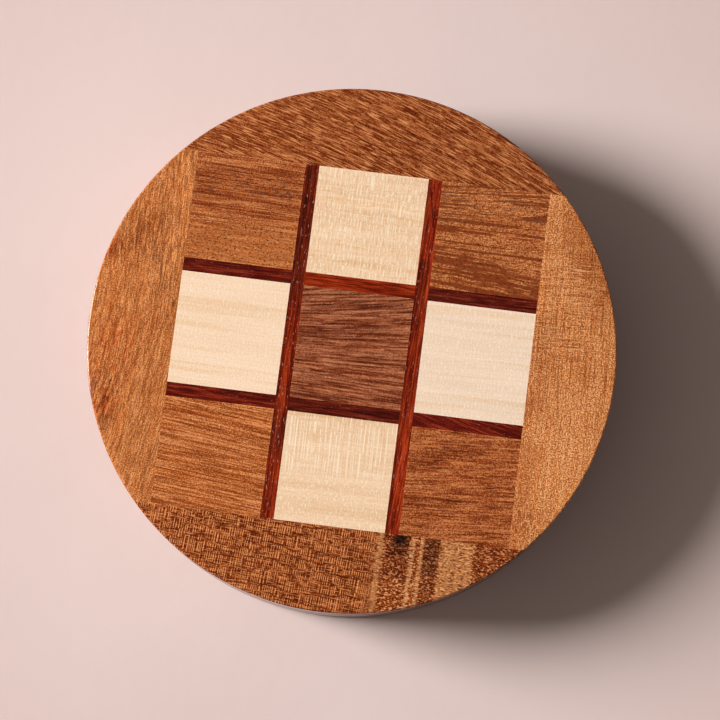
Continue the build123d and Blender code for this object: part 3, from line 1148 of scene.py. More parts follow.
def settled(name: str, mesh: Mesh) -> Piece:
    """Turns a mesh's faces outwards, creases its sharp edges and makes an object of it.

    Args:
        name: The piece's name.
        mesh: The finished mesh.

    Returns:
        The object, linked to the scene.
    """
    shape = bmesh.new()
    shape.from_mesh(mesh)
    bmesh.ops.recalc_face_normals(shape, faces=shape.faces)
    shape.to_mesh(mesh)
    open_edges = sum(not edge.is_manifold for edge in shape.edges)
    volume = shape.calc_volume()
    shape.free()
    mesh.set_sharp_from_angle(angle=math.radians(CREASE))
    made = bpy.data.objects.new(name, mesh)
    bpy.context.scene.collection.objects.link(made)
    LOG.info(
        "%s: %d faces, %d open edges, %.0f cubic mm", name, len(mesh.polygons), open_edges, volume * 1e9,
    )
    return made


def dressed(piece: Piece, finish: WoodFinish | MetalFinish, effects: Effects) -> Piece:
    """Gives a piece its one material.

    Args:
        piece: A piece made here or a CAD node.
        finish: Its finish.
        effects: The shared shader groups.

    Returns:
        The piece.
    """
    known = bpy.data.materials.get(finish.name)
    material = known or finish.material(effects)
    piece.data.materials.clear()
    piece.data.materials.append(material)
    return piece


def fitted(piece: Piece, finish: WoodFinish | MetalFinish, effects: Effects, node: str, body: str) -> None:
    """Dresses a piece made here, puts it in the place of a CAD node and lets it ride on a body.

    Args:
        piece: The piece.
        finish: Its finish.
        effects: The shared shader groups.
        node: The CAD node that it takes the place of.
        body: The body that it moves with.
    """
    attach(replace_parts(dressed(piece, finish, effects), node), body)


def arc(centre: Spot, radius: float, start: float, end: float, steps: int) -> list[Spot]:
    """Points along an arc, with both of its ends.

    Args:
        centre: Its centre.
        radius: Its radius.
        start: The direction of its first point, in radians.
        end: The direction of its last point, in radians.
        steps: How many equal steps lie between them.

    Returns:
        The points in order.
    """
    turns = [start + (end - start) * step / steps for step in range(steps + 1)]
    return [(centre[0] + radius * math.cos(t), centre[1] + radius * math.sin(t)) for t in turns]


def circle(radius: float, height: float, centre: Spot = (0.0, 0.0), count: int = TURNED_SIDES) -> list[Point]:
    """Points of a level circle.

    Args:
        radius: Its radius.
        height: Its height.
        centre: Its centre.
        count: How many points it has.

    Returns:
        The points, anticlockwise from above.
    """
    return [(x, y, height) for x, y in arc(centre, radius, 0.0, 2 * math.pi, count)[:-1]]


def eased(radius: float, steps: int = 6) -> list[tuple[float, float]]:
    """How far in and how far up a rounded edge has gone, from its foot to its top.

    Args:
        radius: The radius of the rounding.
        steps: How many faces it has.

    Returns:
        Pairs of inward and upward distances.
    """
    turns = [math.pi / 2 * step / steps for step in range(steps + 1)]
    return [(radius * (1 - math.cos(t)), radius * math.sin(t)) for t in turns]


@dataclass
class BoardSizes:
    """The sizes that the pieces share, as in the CAD model."""

    radius: float = 76.2
    height: float = 25.4
    rim_round: float = 0.6
    foot_round: float = 0.8
    seam_round: float = 0.3
    lid_bottom: float = 15.85
    backer_top: float = 22.2
    base_height: float = 15.55
    floor: float = 4.8
    shelf: float = 3.5
    pocket_radius: float = 66.2
    divider: float = 18.0
    pocket_corner: float = 6.35
    pivot_y: float = 63.2
    catch_radius: float = 4.75
    catch_height: float = 3.2
    catch_bore: float = 4.8
    catch_bore_depth: float = 3.25
    grid_half_width: float = 51.35
    grid_half_depth: float = 51.7


class NodeShapes:
    """Shapes that follow a rule, made with Geometry Nodes: turned discs, turned rings and crosses."""

    def __init__(self) -> None:
        """Builds the trees."""
        self.disc = self._disc()
        self.ring = self._ring()
        self.cross = self._cross()
        self.bores = self._bores()

    def _start(self, name: str, inputs: dict[str, Feed]) -> tuple[Wiring, dict[str, Socket]]:
        """Makes an empty tree with its named inputs.

        Args:
            name: The tree's name.
            inputs: Names and default values: whole numbers, lengths in mm, or a place in mm.

        Returns:
            Its wiring, and its input sockets by name.
        """
        tree = bpy.data.node_groups.new(name, "GeometryNodeTree")
        tree.interface.new_socket("Geometry", in_out="INPUT", socket_type="NodeSocketGeometry")
        kinds = {int: "NodeSocketInt", float: "NodeSocketFloat", tuple: "NodeSocketVector"}
        for label, value in inputs.items():
            socket = tree.interface.new_socket(label, in_out="INPUT", socket_type=kinds[type(value)])
            socket.default_value = value
        tree.interface.new_socket("Finish", in_out="INPUT", socket_type="NodeSocketMaterial")
        tree.interface.new_socket("Geometry", in_out="OUTPUT", socket_type="NodeSocketGeometry")
        wiring = Wiring(tree)
        given = {s.name: s for s in wiring.add("NodeGroupInput").outputs if s.name}
        return wiring, given

    def _end(self, w: Wiring, given: dict[str, Socket], geometry: Feed) -> Tree:
        """Ends a tree: millimetres become metres, instances become real, and the finish is set."""
        small = w.made("GeometryNodeTransform", {"Geometry": geometry, "Scale": (MM, MM, MM)})
        real = w.made("GeometryNodeRealizeInstances", {0: small})
        last = w.made("GeometryNodeSetMaterial", {"Geometry": real, "Material": given["Finish"]})
        w.feed(w.add("NodeGroupOutput").inputs["Geometry"], last)
        return w.tree

    def _disc(self) -> Tree:
        """A turned disc with eased edges: a circle is swept up a line, whose points set its radius."""
        inputs = {
            "Radius": 10.0, "Bottom": 0.0, "Top": 3.0, "Lower Edge": 0.3, "Upper Edge": 0.3,
            "Place": (0.0, 0.0, 0.0), "Sides": 96, "Steps": 5,
        }
        w, given = self._start("Turned disc", inputs)
        steps = given["Steps"]
        count = w.math("MULTIPLY_ADD", steps, 2.0, 2.0)
        line = w.made("GeometryNodeMeshLine", {"Count": count, "Offset": (0, 0, 1)})
        curve = w.made("GeometryNodeMeshToCurve", {0: line})
        index = w.made("GeometryNodeInputIndex")
        upper = w.math("GREATER_THAN", index, w.math("ADD", steps, 0.5))
        step = w.math("SUBTRACT", index, w.math("MULTIPLY", upper, w.math("ADD", steps, 1.0)))
        turn = w.math("MULTIPLY", w.math("DIVIDE", step, steps), math.pi / 2)
        sine, cosine = w.math("SINE", turn), w.math("COSINE", turn)
        low, high = given["Lower Edge"], given["Upper Edge"]
        low_height = w.math("MULTIPLY_ADD", low, w.math("SUBTRACT", 1.0, cosine), given["Bottom"])
        high_height = w.math("MULTIPLY_ADD", high, w.math("SUBTRACT", sine, 1.0), given["Top"])
        low_radius = w.math("MULTIPLY_ADD", low, w.math("SUBTRACT", sine, 1.0), given["Radius"])
        high_radius = w.math("MULTIPLY_ADD", high, w.math("SUBTRACT", cosine, 1.0), given["Radius"])
        height = w.math("MULTIPLY_ADD", upper, w.math("SUBTRACT", high_height, low_height), low_height)
        radius = w.math("MULTIPLY_ADD", upper, w.math("SUBTRACT", high_radius, low_radius), low_radius)
        risen = w.vector("ADD", given["Place"], w.joined(0.0, 0.0, height))
        placed = w.made("GeometryNodeSetPosition", {"Geometry": curve, "Position": risen})
        rim = w.made("GeometryNodeCurvePrimitiveCircle", {"Resolution": given["Sides"], "Radius": 1.0})
        feeds = {"Curve": placed, "Profile Curve": rim, "Scale": radius, "Fill Caps": True}
        return self._end(w, given, w.made("GeometryNodeCurveToMesh", feeds))

    def _ring(self) -> Tree:
        """A turned ring: a rectangle with rounded corners is swept round a circle."""
        inputs = {
            "Outer Radius": 10.0, "Bore Radius": 4.0, "Bottom": 0.0, "Top": 3.0, "Edge": 0.3,
            "Place": (0.0, 0.0, 0.0), "Sides": 96, "Steps": 5,
        }
        w, given = self._start("Turned ring", inputs)
        middle = w.math("MULTIPLY", w.math("ADD", given["Outer Radius"], given["Bore Radius"]), 0.5)
        width = w.math("SUBTRACT", given["Outer Radius"], given["Bore Radius"])
        height = w.math("SUBTRACT", given["Top"], given["Bottom"])
        path = w.made("GeometryNodeCurvePrimitiveCircle", {"Resolution": given["Sides"], "Radius": middle})
        box = w.made("GeometryNodeCurvePrimitiveQuadrilateral", {"Width": width, "Height": height})
        feeds = {"Curve": box, "Radius": given["Edge"], "Limit Radius": True}
        rounded = w.add("GeometryNodeFilletCurve", feeds, mode="POLY")
        w.feed(rounded.inputs["Count"], given["Steps"])
        swept = w.made("GeometryNodeCurveToMesh", {"Curve": path, "Profile Curve": rounded.outputs[0]})
        risen = w.math("MULTIPLY", w.math("ADD", given["Bottom"], given["Top"]), 0.5)
        place = w.vector("ADD", given["Place"], w.joined(0.0, 0.0, risen))
        return self._end(w, given, w.made("GeometryNodeTransform", {0: swept, "Translation": place}))

    def _cross(self) -> Tree:
        """A cross on the slant: twelve corners, placed by their number, are swept up a line."""
        inputs = {
            "Arm Length": 24.0, "Arm Width": 6.4, "Inner Round": 0.8, "Outer Round": 0.4, "Bottom": 0.0,
            "Top": 6.0, "Place": (0.0, 0.0, 0.0),
        }
        w, given = self._start("Cross", inputs)
        index = w.made("GeometryNodeInputIndex")
        arm = w.math("FLOOR", w.math("DIVIDE", w.math("ADD", index, 0.5), 3.0))
        corner = w.math("SUBTRACT", index, w.math("MULTIPLY", arm, 3.0))
        inner = w.math("GREATER_THAN", corner, 1.5)
        reach = w.math("MULTIPLY", given["Arm Length"], 0.5)
        half = w.math("MULTIPLY", given["Arm Width"], 0.5)
        out = w.math("MULTIPLY_ADD", inner, w.math("SUBTRACT", half, reach), reach)
        side = w.math("MULTIPLY", half, w.math("MINIMUM", w.math("MULTIPLY_ADD", corner, 2.0, -1.0), 1.0))
        turn = w.math("MULTIPLY_ADD", arm, math.pi / 2, math.pi / 4)
        feeds = {"Vector": w.joined(out, side, 0.0), "Angle": turn}
        corners = w.made("ShaderNodeVectorRotate", feeds, rotation_type="Z_AXIS")
        line = w.made("GeometryNodeMeshLine", {"Count": 12, "Offset": (0, 0, 1)})
        placed = w.made("GeometryNodeSetPosition", {"Geometry": line, "Position": corners})
        curve = w.made("GeometryNodeMeshToCurve", {0: placed})
        closed = w.made("GeometryNodeSetSplineCyclic", {"Geometry": curve, "Cyclic": True})
        rounding = w.math("SUBTRACT", given["Inner Round"], given["Outer Round"])
        rounding = w.math("MULTIPLY_ADD", inner, rounding, given["Outer Round"])
        outline = w.add("GeometryNodeFilletCurve", {"Curve": closed, "Radius": rounding}, mode="POLY")
        w.feed(outline.inputs["Count"], 6)
        rise = w.joined(0.0, 0.0, w.math("SUBTRACT", given["Top"], given["Bottom"]))
        path = w.made("GeometryNodeCurvePrimitiveLine", {"Start": (0, 0, 0), "End": rise})
        feeds = {"Curve": path, "Profile Curve": outline.outputs[0], "Fill Caps": True}
        swept = w.made("GeometryNodeCurveToMesh", feeds)
        place = w.vector("ADD", given["Place"], w.joined(0.0, 0.0, given["Bottom"]))
        return self._end(w, given, w.made("GeometryNodeTransform", {0: swept, "Translation": place}))

    def _bores(self) -> Tree:
        """Round bores, evenly spaced on a line, cut into whatever the tree is given."""
        inputs = {
            "Count": 1, "First": (0.0, 0.0, 0.0), "Step": (0.0, 0.0, 0.0), "Radius": 3.0, "Depth": 3.0,
            "Sides": 64,
        }
        w, given = self._start("Bores", inputs)
        big = w.made("GeometryNodeTransform", {0: given["Geometry"], "Scale": (1000, 1000, 1000)})
        feeds = {"Count": given["Count"], "Start Location": given["First"], "Offset": given["Step"]}
        points = w.made("GeometryNodeMeshLine", feeds)
        deep = w.math("MULTIPLY", given["Depth"], 2.0)
        feeds = {"Vertices": given["Sides"], "Radius": given["Radius"], "Depth": deep}
        bore = w.made("GeometryNodeMeshCylinder", feeds)
        bores = w.made("GeometryNodeInstanceOnPoints", {"Points": points, "Instance": bore})
        real = w.made("GeometryNodeRealizeInstances", {0: bores})
        cut = w.made("GeometryNodeMeshBoolean", {"Mesh 1": big, "Mesh 2": real}, operation="DIFFERENCE")
        return self._end(w, given, cut)

    def add(self, piece: Piece, tree: Tree, finish: Material, **sizes: Feed) -> None:
        """Adds one tree to a piece as a modifier and sets its inputs.

        Args:
            piece: The piece.
            tree: The tree.
            finish: The material that the tree sets.
            sizes: Its inputs, with underscores for the spaces in their names.
        """
        modifier = piece.modifiers.new(tree.name, "NODES")
        modifier.node_group = tree
        names = {s.name: s.identifier for s in tree.interface.items_tree if s.in_out == "INPUT"}
        modifier[names["Finish"]] = finish
        for name, value in sizes.items():
            modifier[names[name.replace("_", " ").title()]] = value

    def finished(self, piece: Piece) -> Piece:
        """Turns what the modifiers make into a plain mesh.

        Args:
            piece: The piece with its modifiers.

        Returns:
            A new object with no modifiers.
        """
        name = piece.name
        evaluated = piece.evaluated_get(bpy.context.evaluated_depsgraph_get())
        mesh = bpy.data.meshes.new_from_object(evaluated)
        bpy.data.objects.remove(piece)
        shape = bmesh.new()
        shape.from_mesh(mesh)
        bmesh.ops.remove_doubles(shape, verts=shape.verts, dist=1e-7)
        for face in shape.faces:
            face.smooth = len(face.verts) < 9
        shape.to_mesh(mesh)
        shape.free()
        mesh.name = name
        made = settled(name, mesh)
        made.name = name
        return made

    def turned(self, name: str, tree: Tree, finish: Material, **sizes: Feed) -> Piece:
        """Builds a piece from one tree alone, as a plain mesh."""
        piece = self.blank(name)
        self.add(piece, tree, finish, **sizes)
        return self.finished(piece)

    def catch_magnet(self, side: str, effects: Effects, sizes: BoardSizes, bottom: float) -> None:
        """Builds one of the two magnets of the catch.

        Args:
            side: The body that it stands in: lid or base.
            effects: The shared shader groups.
            sizes: The sizes that the pieces share.
            bottom: The height of its lower face.
        """
        centre = (0.0, -sizes.pivot_y)
        finish = nickel(f"nickel {side} catch", centre)
        magnet = self.turned(
            f"catch_magnet_of_{side}", self.disc, finish.material(effects), radius=sizes.catch_radius,
            bottom=bottom, top=bottom + sizes.catch_height, place=(*centre, 0.0), lower_edge=0.25,
            upper_edge=0.25,
        )
        fitted(magnet, finish, effects, f"{side}_catch_magnet", side)

    @staticmethod
    def blank(name: str) -> Piece:
        """Makes an empty mesh object for modifiers to fill."""
        piece = bpy.data.objects.new(name, bpy.data.meshes.new(name))
        bpy.context.scene.collection.objects.link(piece)
        return piece


@dataclass
class Inlay:
    """The inlaid top: tiles and strips from the CAD model, and a border turned with an eased rim."""

    sizes: BoardSizes
    effects: Effects
    woods: Woods
    arc_steps: int = 160

    def build(self) -> None:
        """Dresses the tiles and strips and replaces the four border segments."""
        finishes = {**self.woods.brown_tiles(), **self.woods.pale_tiles(), **self.woods.strips()}
        for node, finish in finishes.items():
            dressed(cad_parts[node], finish, self.effects)
        LOG.info("inlay: %d tiles and strips dressed", len(finishes))
        for edge, finish in self.woods.borders().items():
            fitted(self.segment(edge), finish, self.effects, f"border_{edge.name.lower()}", "lid")

    def outline(self, edge: Edge, radius: float, height: float) -> list[Point]:
        """One level of a border segment: its arc, and its inner corners where it has them.

        Args:
            edge: The side of the board.
            radius: The rim's radius at this level.
            height: The level.

        Returns:
            The points of the loop.
        """
        half_width, half_depth = self.sizes.grid_half_width, self.sizes.grid_half_depth
        beside = edge in (Edge.LEFT, Edge.RIGHT)
        middle = math.atan2(edge.value[1], edge.value[0])
        reach = math.asin(half_depth / radius) if beside else math.acos(half_depth / radius)
        turns = [middle - reach + 2 * reach * step / self.arc_steps for step in range(self.arc_steps + 1)]
        points = [(radius * math.cos(t), radius * math.sin(t), height) for t in turns]
        if beside:
            side = edge.value[0]
            points += [(side * half_width, end * half_depth, height) for end in (side, -side)]
        return points

    def segment(self, edge: Edge) -> Piece:
        """Builds one border segment."""
        s, shape = self.sizes, SolidShape()
        levels = [(s.radius, s.backer_top)]
        levels += [(s.radius - into, s.height - s.rim_round + up) for into, up in eased(s.rim_round, 8)]
        loops = [shape.loop(self.outline(edge, radius, height)) for radius, height in levels]
        shape.bands(loops)
        shape.cap(loops[0])
        shape.cap(loops[-1])
        return shape.made(f"{edge.name.lower()}_border")


@dataclass
class Lid:
    """What the inlay is glued to: the backer, with its steel discs and its catch magnet."""

    sizes: BoardSizes
    effects: Effects
    woods: Woods
    shapes: NodeShapes
    column: float = 35.65
    row: float = 36.0
    disc_bore: tuple[float, float] = (12.75, 1.25)
    insert_bore: tuple[float, float] = (3.85, 5.25)

    def build(self) -> None:
        """Replaces the backer by a turned disc and dresses the metal inside it."""
        s, finish = self.sizes, self.woods.body()
        material = finish.material(self.effects)
        piece = self.shapes.blank("backer")
        self.shapes.add(
            piece, self.shapes.disc, material, radius=s.radius, bottom=s.lid_bottom, top=s.backer_top,
            lower_edge=s.seam_round, upper_edge=0.01, sides=TURNED_SIDES,
        )
        radius, depth = self.disc_bore
        for y in (-self.row, 0.0, self.row):
            self.shapes.add(
                piece, self.shapes.bores, material, count=3, first=(-self.column, y, s.backer_top),
                step=(self.column, 0.0, 0.0), radius=radius, depth=depth,
            )
        below = ((s.pivot_y, *self.insert_bore), (-s.pivot_y, s.catch_bore, s.catch_bore_depth))
        for y, radius, depth in below:
            self.shapes.add(
                piece, self.shapes.bores, material, first=(0.0, y, s.lid_bottom), radius=radius,
                depth=depth,
            )
        fitted(self.shapes.finished(piece), finish, self.effects, "lid_backer", "lid")
        steel = MetalFinish("steel discs", "steel", (176, 178, 180), (140, 142, 146), spacing=0.3)
        dressed(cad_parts["field_discs"], steel, self.effects)
        self.shapes.catch_magnet("lid", self.effects, s, s.lid_bottom)


@dataclass
class Base:
    """The turned base with its two routed pockets and the catch magnet in its rim."""

    sizes: BoardSizes
    effects: Effects
    woods: Woods
    shapes: NodeShapes
    ease: float = 0.5
    cove: float = 0.9
    pivot_bore: float = 4.8
    recess: float = 6.2
    recess_ease: float = 0.25
    bore_sides: int = 64

    def build(self) -> None:
        """Replaces the base's body and its catch magnet."""
        s = self.sizes
        finish = replace(self.woods.body(), name="mahogany base", seed=57.0)
        fitted(self.body(), finish, self.effects, "base_body", "base")
        self.shapes.catch_magnet("base", self.effects, s, s.base_height - s.catch_height)

    def pocket(self, side: int, grow: float, height: float) -> list[Point]:
        """One level of a pocket's outline, grown or shrunk by a little.

        Args:
            side: -1 for the left pocket and 1 for the right one.
            grow: How far the outline is moved outwards.
            height: The level.

        Returns:
            The points of the loop.
        """
        s = self.sizes
        corner, reach = s.pocket_corner, s.pocket_radius - s.pocket_corner
        across = s.divider / 2 + corner
        up = math.sqrt(reach**2 - across**2)
        lean = math.atan2(up, across)
        points = arc((across, up), corner + grow, math.pi, lean, 12)
        points += arc((0.0, 0.0), s.pocket_radius + grow, lean, -lean, 72)[1:-1]
        points += arc((across, -up), corner + grow, -lean, -math.pi, 12)
        return [(side * x, y, height) for x, y in points]

    def body(self) -> Piece:
        """Builds the base from its outer wall, its pockets, the pivot's bore and the magnet's bore."""
        s, shape = self.sizes, SolidShape()
        outer = [(s.radius - s.foot_round + up, into) for into, up in eased(s.foot_round)]
        seam = s.base_height - s.seam_round
        outer += [(s.radius - into, seam + up) for into, up in eased(s.seam_round, 4)]
        wall = shape.turned(outer)
        holes = []
        for side in (-1, 1):
            rim = [(into, s.base_height - self.ease + up) for into, up in eased(self.ease, 5)]
            deep = [(-into, s.floor + self.cove - up) for into, up in eased(self.cove, 5)]
            loops = [shape.loop(self.pocket(side, grow, height)) for grow, height in [*reversed(rim), *deep]]
            shape.bands(loops)
            shape.cap(loops[-1])
            holes.append(loops[0])
        pivot, catch = (0.0, s.pivot_y), (0.0, -s.pivot_y)
        profile = [(self.pivot_bore, height) for height in (s.base_height, s.shelf)]
        bore = shape.turned(profile, pivot, self.bore_sides)
        profile = [(self.recess, s.shelf), (self.recess, self.recess_ease)]
        head = shape.turned([*profile, (self.recess + self.recess_ease, 0)], pivot, self.bore_sides)
        shape.cap(head[0], [bore[1]])
        profile = [(s.catch_bore, height) for height in (s.base_height, s.base_height - s.catch_bore_depth)]
        magnet = shape.turned(profile, catch, self.bore_sides)
        shape.cap(magnet[1])
        shape.cap(wall[-1], [*holes, bore[0], magnet[0]])
        shape.cap(wall[0], [head[-1]])
        return shape.made("turned_base")


@dataclass
class Pivot:
    """The shoulder screw, its bush, its washers and its insert.

    The insert stands a little off the washer under it, so that the two don't touch when the lid turns.
    """

    sizes: BoardSizes
    effects: Effects
    shapes: NodeShapes
    head: float = 5.8
    head_bottom: float = 0.6
    head_top: float = 3.0
    shoulder: float = 3.0
    root: float = 2.05
    crest: float = 2.4
    pitch: float = 0.5
    turns: int = 9
    thread: float = 4.6
    socket_across: float = 3.0
    socket_depth: float = 1.4
    insert_gap: float = 0.08

    def build(self) -> None:
        """Replaces the sleeves and washers and dresses the screw."""
        s = self.sizes
        axis = (0.0, s.pivot_y, 0.0)
        brass = MetalFinish("brass pivot", "brass", (214, 178, 108), (168, 132, 74), axis, 0.15, 0.3)
        steel = MetalFinish("steel pivot", "steel", (176, 178, 180), (138, 140, 144), axis, 0.2, 0.3)
        bore, insert = self.shoulder + 0.05, s.lid_bottom + self.insert_gap
        sleeves = (
            ("bush", "pivot_bush", "base", brass, 4.75, bore, s.shelf, s.base_height, 0.15),
            ("thrust_washer", "pivot_washer", "base", brass, 7.5, bore, s.base_height, s.lid_bottom, 0.06),
            ("head_washer", "screw_washer", "lid", steel, self.head, bore, self.head_top, s.shelf, 0.1),
            ("insert", "threaded_insert", "lid", brass, 3.8, 2.45, insert, s.lid_bottom + 5.2, 0.2),
        )
        for name, node, body, finish, outer, inner, bottom, top, edge in sleeves:
            piece = self.shapes.turned(
                name, self.shapes.ring, finish.material(self.effects), outer_radius=outer, bore_radius=inner,
                bottom=bottom, top=top, edge=edge, place=axis,
            )
            fitted(piece, finish, self.effects, node, body)
        fitted(self.screw(), steel, self.effects, "pivot_screw", "lid")

    def screw(self) -> Piece:
        """Builds the shoulder screw with its hexagon socket and cut thread."""
        bottom, shape = self.sizes.lid_bottom, SolidShape()
        centre = (0.0, self.sizes.pivot_y)
        head = [(5.4, self.head_bottom), (5.68, 0.72), (self.head, 1.0)]
        head += [(self.head, 2.85), (5.7, self.head_top)]
        shoulder = [(self.shoulder, self.head_top), (self.shoulder, bottom), (self.root, bottom)]
        thread = []
        for turn in range(self.turns):
            height = bottom + 0.35 + self.pitch * turn
            thread += [(self.root, height - 0.2), (self.crest, height - 0.03)]
            thread += [(self.crest, height + 0.03), (self.root, height + 0.2)]
        loops = shape.turned([*head, *shoulder, *thread, (2.0, bottom + self.thread)], centre, 48)
        corner = self.socket_across / 2 / math.cos(math.pi / 6)
        floor = self.head_bottom + self.socket_depth
        socket = shape.turned([(corner, height) for height in (self.head_bottom, floor)], centre, 6)
        shape.cap(socket[1])
        shape.cap(loops[0], [socket[0]])
        shape.cap(loops[-1])
        return shape.made("shoulder_screw")


@dataclass
class PlayingPieces:
    """The five crosses and five rings, each with its magnets, as they are stored under the lid."""

    sizes: BoardSizes
    effects: Effects
    woods: Woods
    shapes: NodeShapes
    thickness: float = 6.35
    arm_length: float = 24.0
    arm_width: float = 6.4
    bevel: float = 0.55
    ring_radius: float = 11.0
    ring_bore: float = 4.3
    ring_edge: float = 0.6
    cross_magnet: float = 3.0
    ring_magnet: float = 2.0
    magnet_height: float = 3.0
    magnet_reach: float = 7.65
    bore_gap: float = 0.05

    def build(self) -> None:
        """Builds and dresses every piece where the CAD model stores it."""
        for number in range(1, 6):
            for kind, build in (("cross", self.cross), ("ring", self.ring)):
                low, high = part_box(f"{kind}_{number}")
                build(number, tuple(round(value * 500, 3) for value in (low.x + high.x, low.y + high.y)))

    def cross(self, number: int, centre: Spot) -> None:
        """Builds one cross and the magnet in its underside."""
        finish, radius = self.woods.cross(centre, number), self.cross_magnet
        material, bottom = finish.material(self.effects), self.sizes.floor
        piece = self.shapes.blank(f"walnut_cross_{number}")
        self.shapes.add(
            piece, self.shapes.cross, material, arm_length=self.arm_length, arm_width=self.arm_width,
            bottom=bottom, top=bottom + self.thickness, place=(*centre, 0.0),
        )
        bevel = piece.modifiers.new("eased", "BEVEL")
        bevel.width, bevel.segments = self.bevel * MM, 4
        bevel.limit_method, bevel.angle_limit = "ANGLE", math.radians(40)
        self.shapes.add(
            piece, self.shapes.bores, material, first=(*centre, bottom), radius=radius + self.bore_gap,
            depth=self.magnet_height + self.bore_gap,
        )
        body = f"cross_piece_{number}"
        fitted(self.shapes.finished(piece), finish, self.effects, f"cross_{number}", body)
        self.magnets("cross", number, [centre], radius, f"cross_magnet_{number}")

    def ring(self, number: int, centre: Spot) -> None:
        """Builds one ring and the two magnets in its underside."""
        finish, radius = self.woods.ring(centre, number), self.ring_magnet
        material, bottom = finish.material(self.effects), self.sizes.floor
        places = [(centre[0], centre[1] + side * self.magnet_reach) for side in (-1, 1)]
        piece = self.shapes.blank(f"maple_ring_{number}")
        self.shapes.add(
            piece, self.shapes.ring, material, outer_radius=self.ring_radius, bore_radius=self.ring_bore,
            bottom=bottom, top=bottom + self.thickness, edge=self.ring_edge, place=(*centre, 0.0), sides=128,
        )
        self.shapes.add(
            piece, self.shapes.bores, material, count=2, first=(*places[0], bottom),
            step=(0.0, 2 * self.magnet_reach, 0.0), radius=radius + self.bore_gap,
            depth=self.magnet_height + self.bore_gap, sides=40,
        )
        body = f"ring_piece_{number}"
        fitted(self.shapes.finished(piece), finish, self.effects, f"ring_{number}", body)
        self.magnets("ring", number, places, radius, f"ring_magnets_{number}")

    def magnets(self, kind: str, number: int, places: Sequence[Spot], radius: float, node: str) -> None:
        """Builds the magnets of one playing piece as one mesh.

        Args:
            kind: Whether they are a cross's or a ring's.
            number: The playing piece's number.
            places: Their centres.
            radius: Their radius.
            node: The CAD node that they take the place of.
        """
        finish = nickel(f"nickel {kind} {number}", places[0], float(number))
        material, bottom = finish.material(self.effects), self.sizes.floor
        discs = [
            self.shapes.turned(
                f"{kind}_magnet", self.shapes.disc, material, radius=radius, bottom=bottom,
                top=bottom + self.magnet_height, lower_edge=0.2, upper_edge=0.2, place=(*place, 0.0),
                sides=48, steps=3,
            )
            for place in places
        ]
        shape = bmesh.new()
        for disc in discs:
            shape.from_mesh(disc.data)
        piece = discs[0]
        shape.to_mesh(piece.data)
        shape.free()
        for spare in discs[1:]:
            bpy.data.objects.remove(spare)
        piece.name = f"{kind}_{number}_magnets"
        fitted(piece, finish, self.effects, node, f"{kind}_piece_{number}")


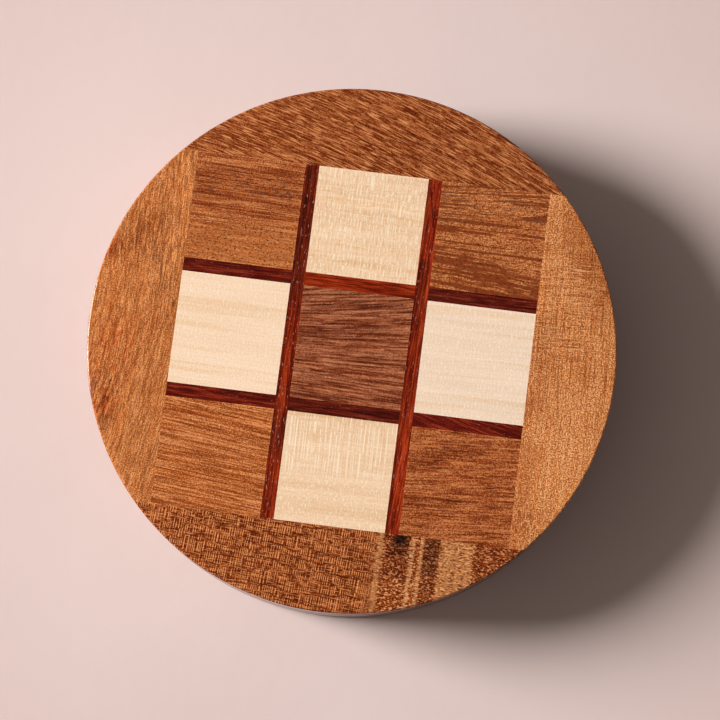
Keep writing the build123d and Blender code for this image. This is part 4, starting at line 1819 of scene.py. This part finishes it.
@dataclass
class Studio:
    """The camera, the lamp, the world and the pale floor.

    The camera's place is measured from the middle of the board's top, before its turns about Z, Y and X.
    """

    lens: float = 135.65
    camera_place: Point = (2.323, -3.54, 779.4)
    camera_turns: tuple[float, float, float] = (7.186, 0.055, 7.699)
    floor_tone: Tone = (229, 208, 202)
    far_tone: Tone = (218, 195, 188)
    floor_reach: float = 9000.0
    lamp_height: float = 23.1
    lamp_heading: float = 175.6
    lamp_distance: float = 4000.0
    lamp_size: float = 1680.0
    lamp_power: float = 343.0
    shaded_side: float = 0.64
    lit_side: float = 2.35

    def build(self) -> None:
        """Builds all of it."""
        self.camera()
        self.lamp()
        self.world()
        self.floor()

    def camera(self) -> None:
        """Sets the camera where the photograph was taken from."""
        data = bpy.data.cameras.new("camera")
        data.lens, data.sensor_width = self.lens, 36.0
        data.clip_start, data.clip_end = 0.01, 20.0
        made = bpy.data.objects.new("camera", data)
        bpy.context.scene.collection.objects.link(made)
        turn = Matrix.Identity(3)
        for axis, angle in zip("ZYX", self.camera_turns):
            turn = turn @ Matrix.Rotation(math.radians(angle), 3, axis)
        place = (turn @ Vector(self.camera_place) + Vector((0, 0, BoardSizes.height))) * MM
        made.matrix_world = Matrix.Translation(place) @ turn.to_4x4()
        bpy.context.scene.camera = made

    def lamp(self) -> None:
        """Sets the large soft lamp on the left."""
        data = bpy.data.lights.new("key", "AREA")
        data.shape, data.size, data.energy = "DISK", self.lamp_size * MM, self.lamp_power
        made = bpy.data.objects.new("key", data)
        bpy.context.scene.collection.objects.link(made)
        heading, rise = math.radians(self.lamp_heading), math.radians(self.lamp_height)
        away = Vector(
            (math.cos(heading) * math.cos(rise), math.sin(heading) * math.cos(rise), math.sin(rise)),
        )
        made.location = away * self.lamp_distance * MM
        made.rotation_mode = "QUATERNION"
        made.rotation_quaternion = away.to_track_quat("Z", "Y")
        made.visible_camera = False

    def world(self) -> None:
        """Makes a world that is bright on the lamp's side, and pale where it is seen or mirrored."""
        world = bpy.data.worlds.new("studio")
        world.use_nodes = True
        bpy.context.scene.world = world
        w = Wiring(world.node_tree)
        background = world.node_tree.nodes["Background"]
        where = w.add("ShaderNodeTexCoord").outputs["Generated"]
        height = w.spread(w.parted(where)[2], 0.0, 0.9)
        heading = math.radians(self.lamp_heading)
        lit = (math.cos(heading), math.sin(heading), 0.0)
        facing = w.add("ShaderNodeVectorMath", {0: where, 1: lit}, operation="DOT_PRODUCT").outputs["Value"]
        side = w.spread(facing, -0.5, 0.9, self.shaded_side, self.lit_side)
        soft = w.ramp(height, ((0.0, (198, 189, 183)), (1.0, (48, 44, 41))))
        soft = w.made("ShaderNodeVectorMath", {0: soft, "Scale": side}, operation="SCALE")
        mirrored = w.ramp(height, ((0.0, self.far_tone), (0.3, (154, 141, 135)), (1.0, (104, 97, 93))))
        path = w.add("ShaderNodeLightPath").outputs
        traced = w.math("MAXIMUM", path["Is Glossy Ray"], path["Is Transmission Ray"])
        soft = w.mixed(traced, soft, mirrored)
        w.feed(background.inputs["Color"], w.mixed(path["Is Camera Ray"], soft, linear(self.far_tone)))
        bpy.context.scene.view_settings.view_transform = "Standard"

    def floor(self) -> None:
        """Lays the plain pale floor, painted lighter round the box as a pool of light, which fades into the
        background far from the box.
        """
        mesh = bpy.data.meshes.new("floor")
        reach = self.floor_reach * MM
        corners = [(-reach, -reach, 0), (reach, -reach, 0), (reach, reach, 0), (-reach, reach, 0)]
        mesh.from_pydata(corners, [], [(0, 1, 2, 3)])
        made = bpy.data.objects.new("floor", mesh)
        bpy.context.scene.collection.objects.link(made)
        material = bpy.data.materials.new("plain floor")
        material.use_nodes = True
        w = Wiring(material.node_tree)
        shader = material.node_tree.nodes["Principled BSDF"]
        # The floor's own coordinates are metres, and so are the distances here.
        place = w.add("ShaderNodeTexCoord").outputs["Object"]
        distance = w.add("ShaderNodeVectorMath", {0: place}, operation="LENGTH").outputs["Value"]
        cloud = w.noise(place, 9.0, 4.0, 0.6)
        darker = tuple(value * 0.975 for value in self.floor_tone)
        colour = w.mixed(w.spread(cloud, 0.3, 0.7), linear(darker), linear(self.floor_tone))
        # Painted light: the colour falls from floor_tone round the box to the darker far_tone beyond 0.17 m,
        # a painted fall-off of light away from the box.
        colour = w.mixed(w.spread(distance, 0.08, 0.17), colour, linear(self.far_tone))
        bump = w.add("ShaderNodeBump", {"Height": w.noise(place, 260.0, 3.0), "Distance": 0.04 * MM})
        w.feed(shader.inputs["Base Color"], colour)
        w.feed(shader.inputs["Roughness"], 0.9)
        w.feed(shader.inputs["Specular IOR Level"], 0.0)
        w.feed(shader.inputs["Normal"], bump.outputs[0])
        far = w.made("ShaderNodeEmission", {"Color": linear(self.far_tone)})
        path = w.add("ShaderNodeLightPath").outputs
        mirrored = w.math("MAXIMUM", path["Is Glossy Ray"], path["Is Transmission Ray"])
        seen = w.math("MAXIMUM", path["Is Camera Ray"], mirrored)
        share = w.math("MULTIPLY", w.spread(distance, 0.25, 0.9), seen)
        both = w.made("ShaderNodeMixShader", {0: share, 1: shader.outputs[0], 2: far})
        w.feed(material.node_tree.nodes["Material Output"].inputs["Surface"], both)
        mesh.materials.append(material)


def main() -> None:
    """Builds the scene and reports each piece."""
    logging.basicConfig(level=logging.INFO, format="%(name)s: %(message)s")
    sizes, effects, woods, shapes = BoardSizes(), Effects(), Woods(), NodeShapes()
    Studio().build()
    Inlay(sizes, effects, woods).build()
    Lid(sizes, effects, woods, shapes).build()
    Base(sizes, effects, woods, shapes).build()
    Pivot(sizes, effects, shapes).build()
    PlayingPieces(sizes, effects, woods, shapes).build()


if __name__ == "__main__":
    main()
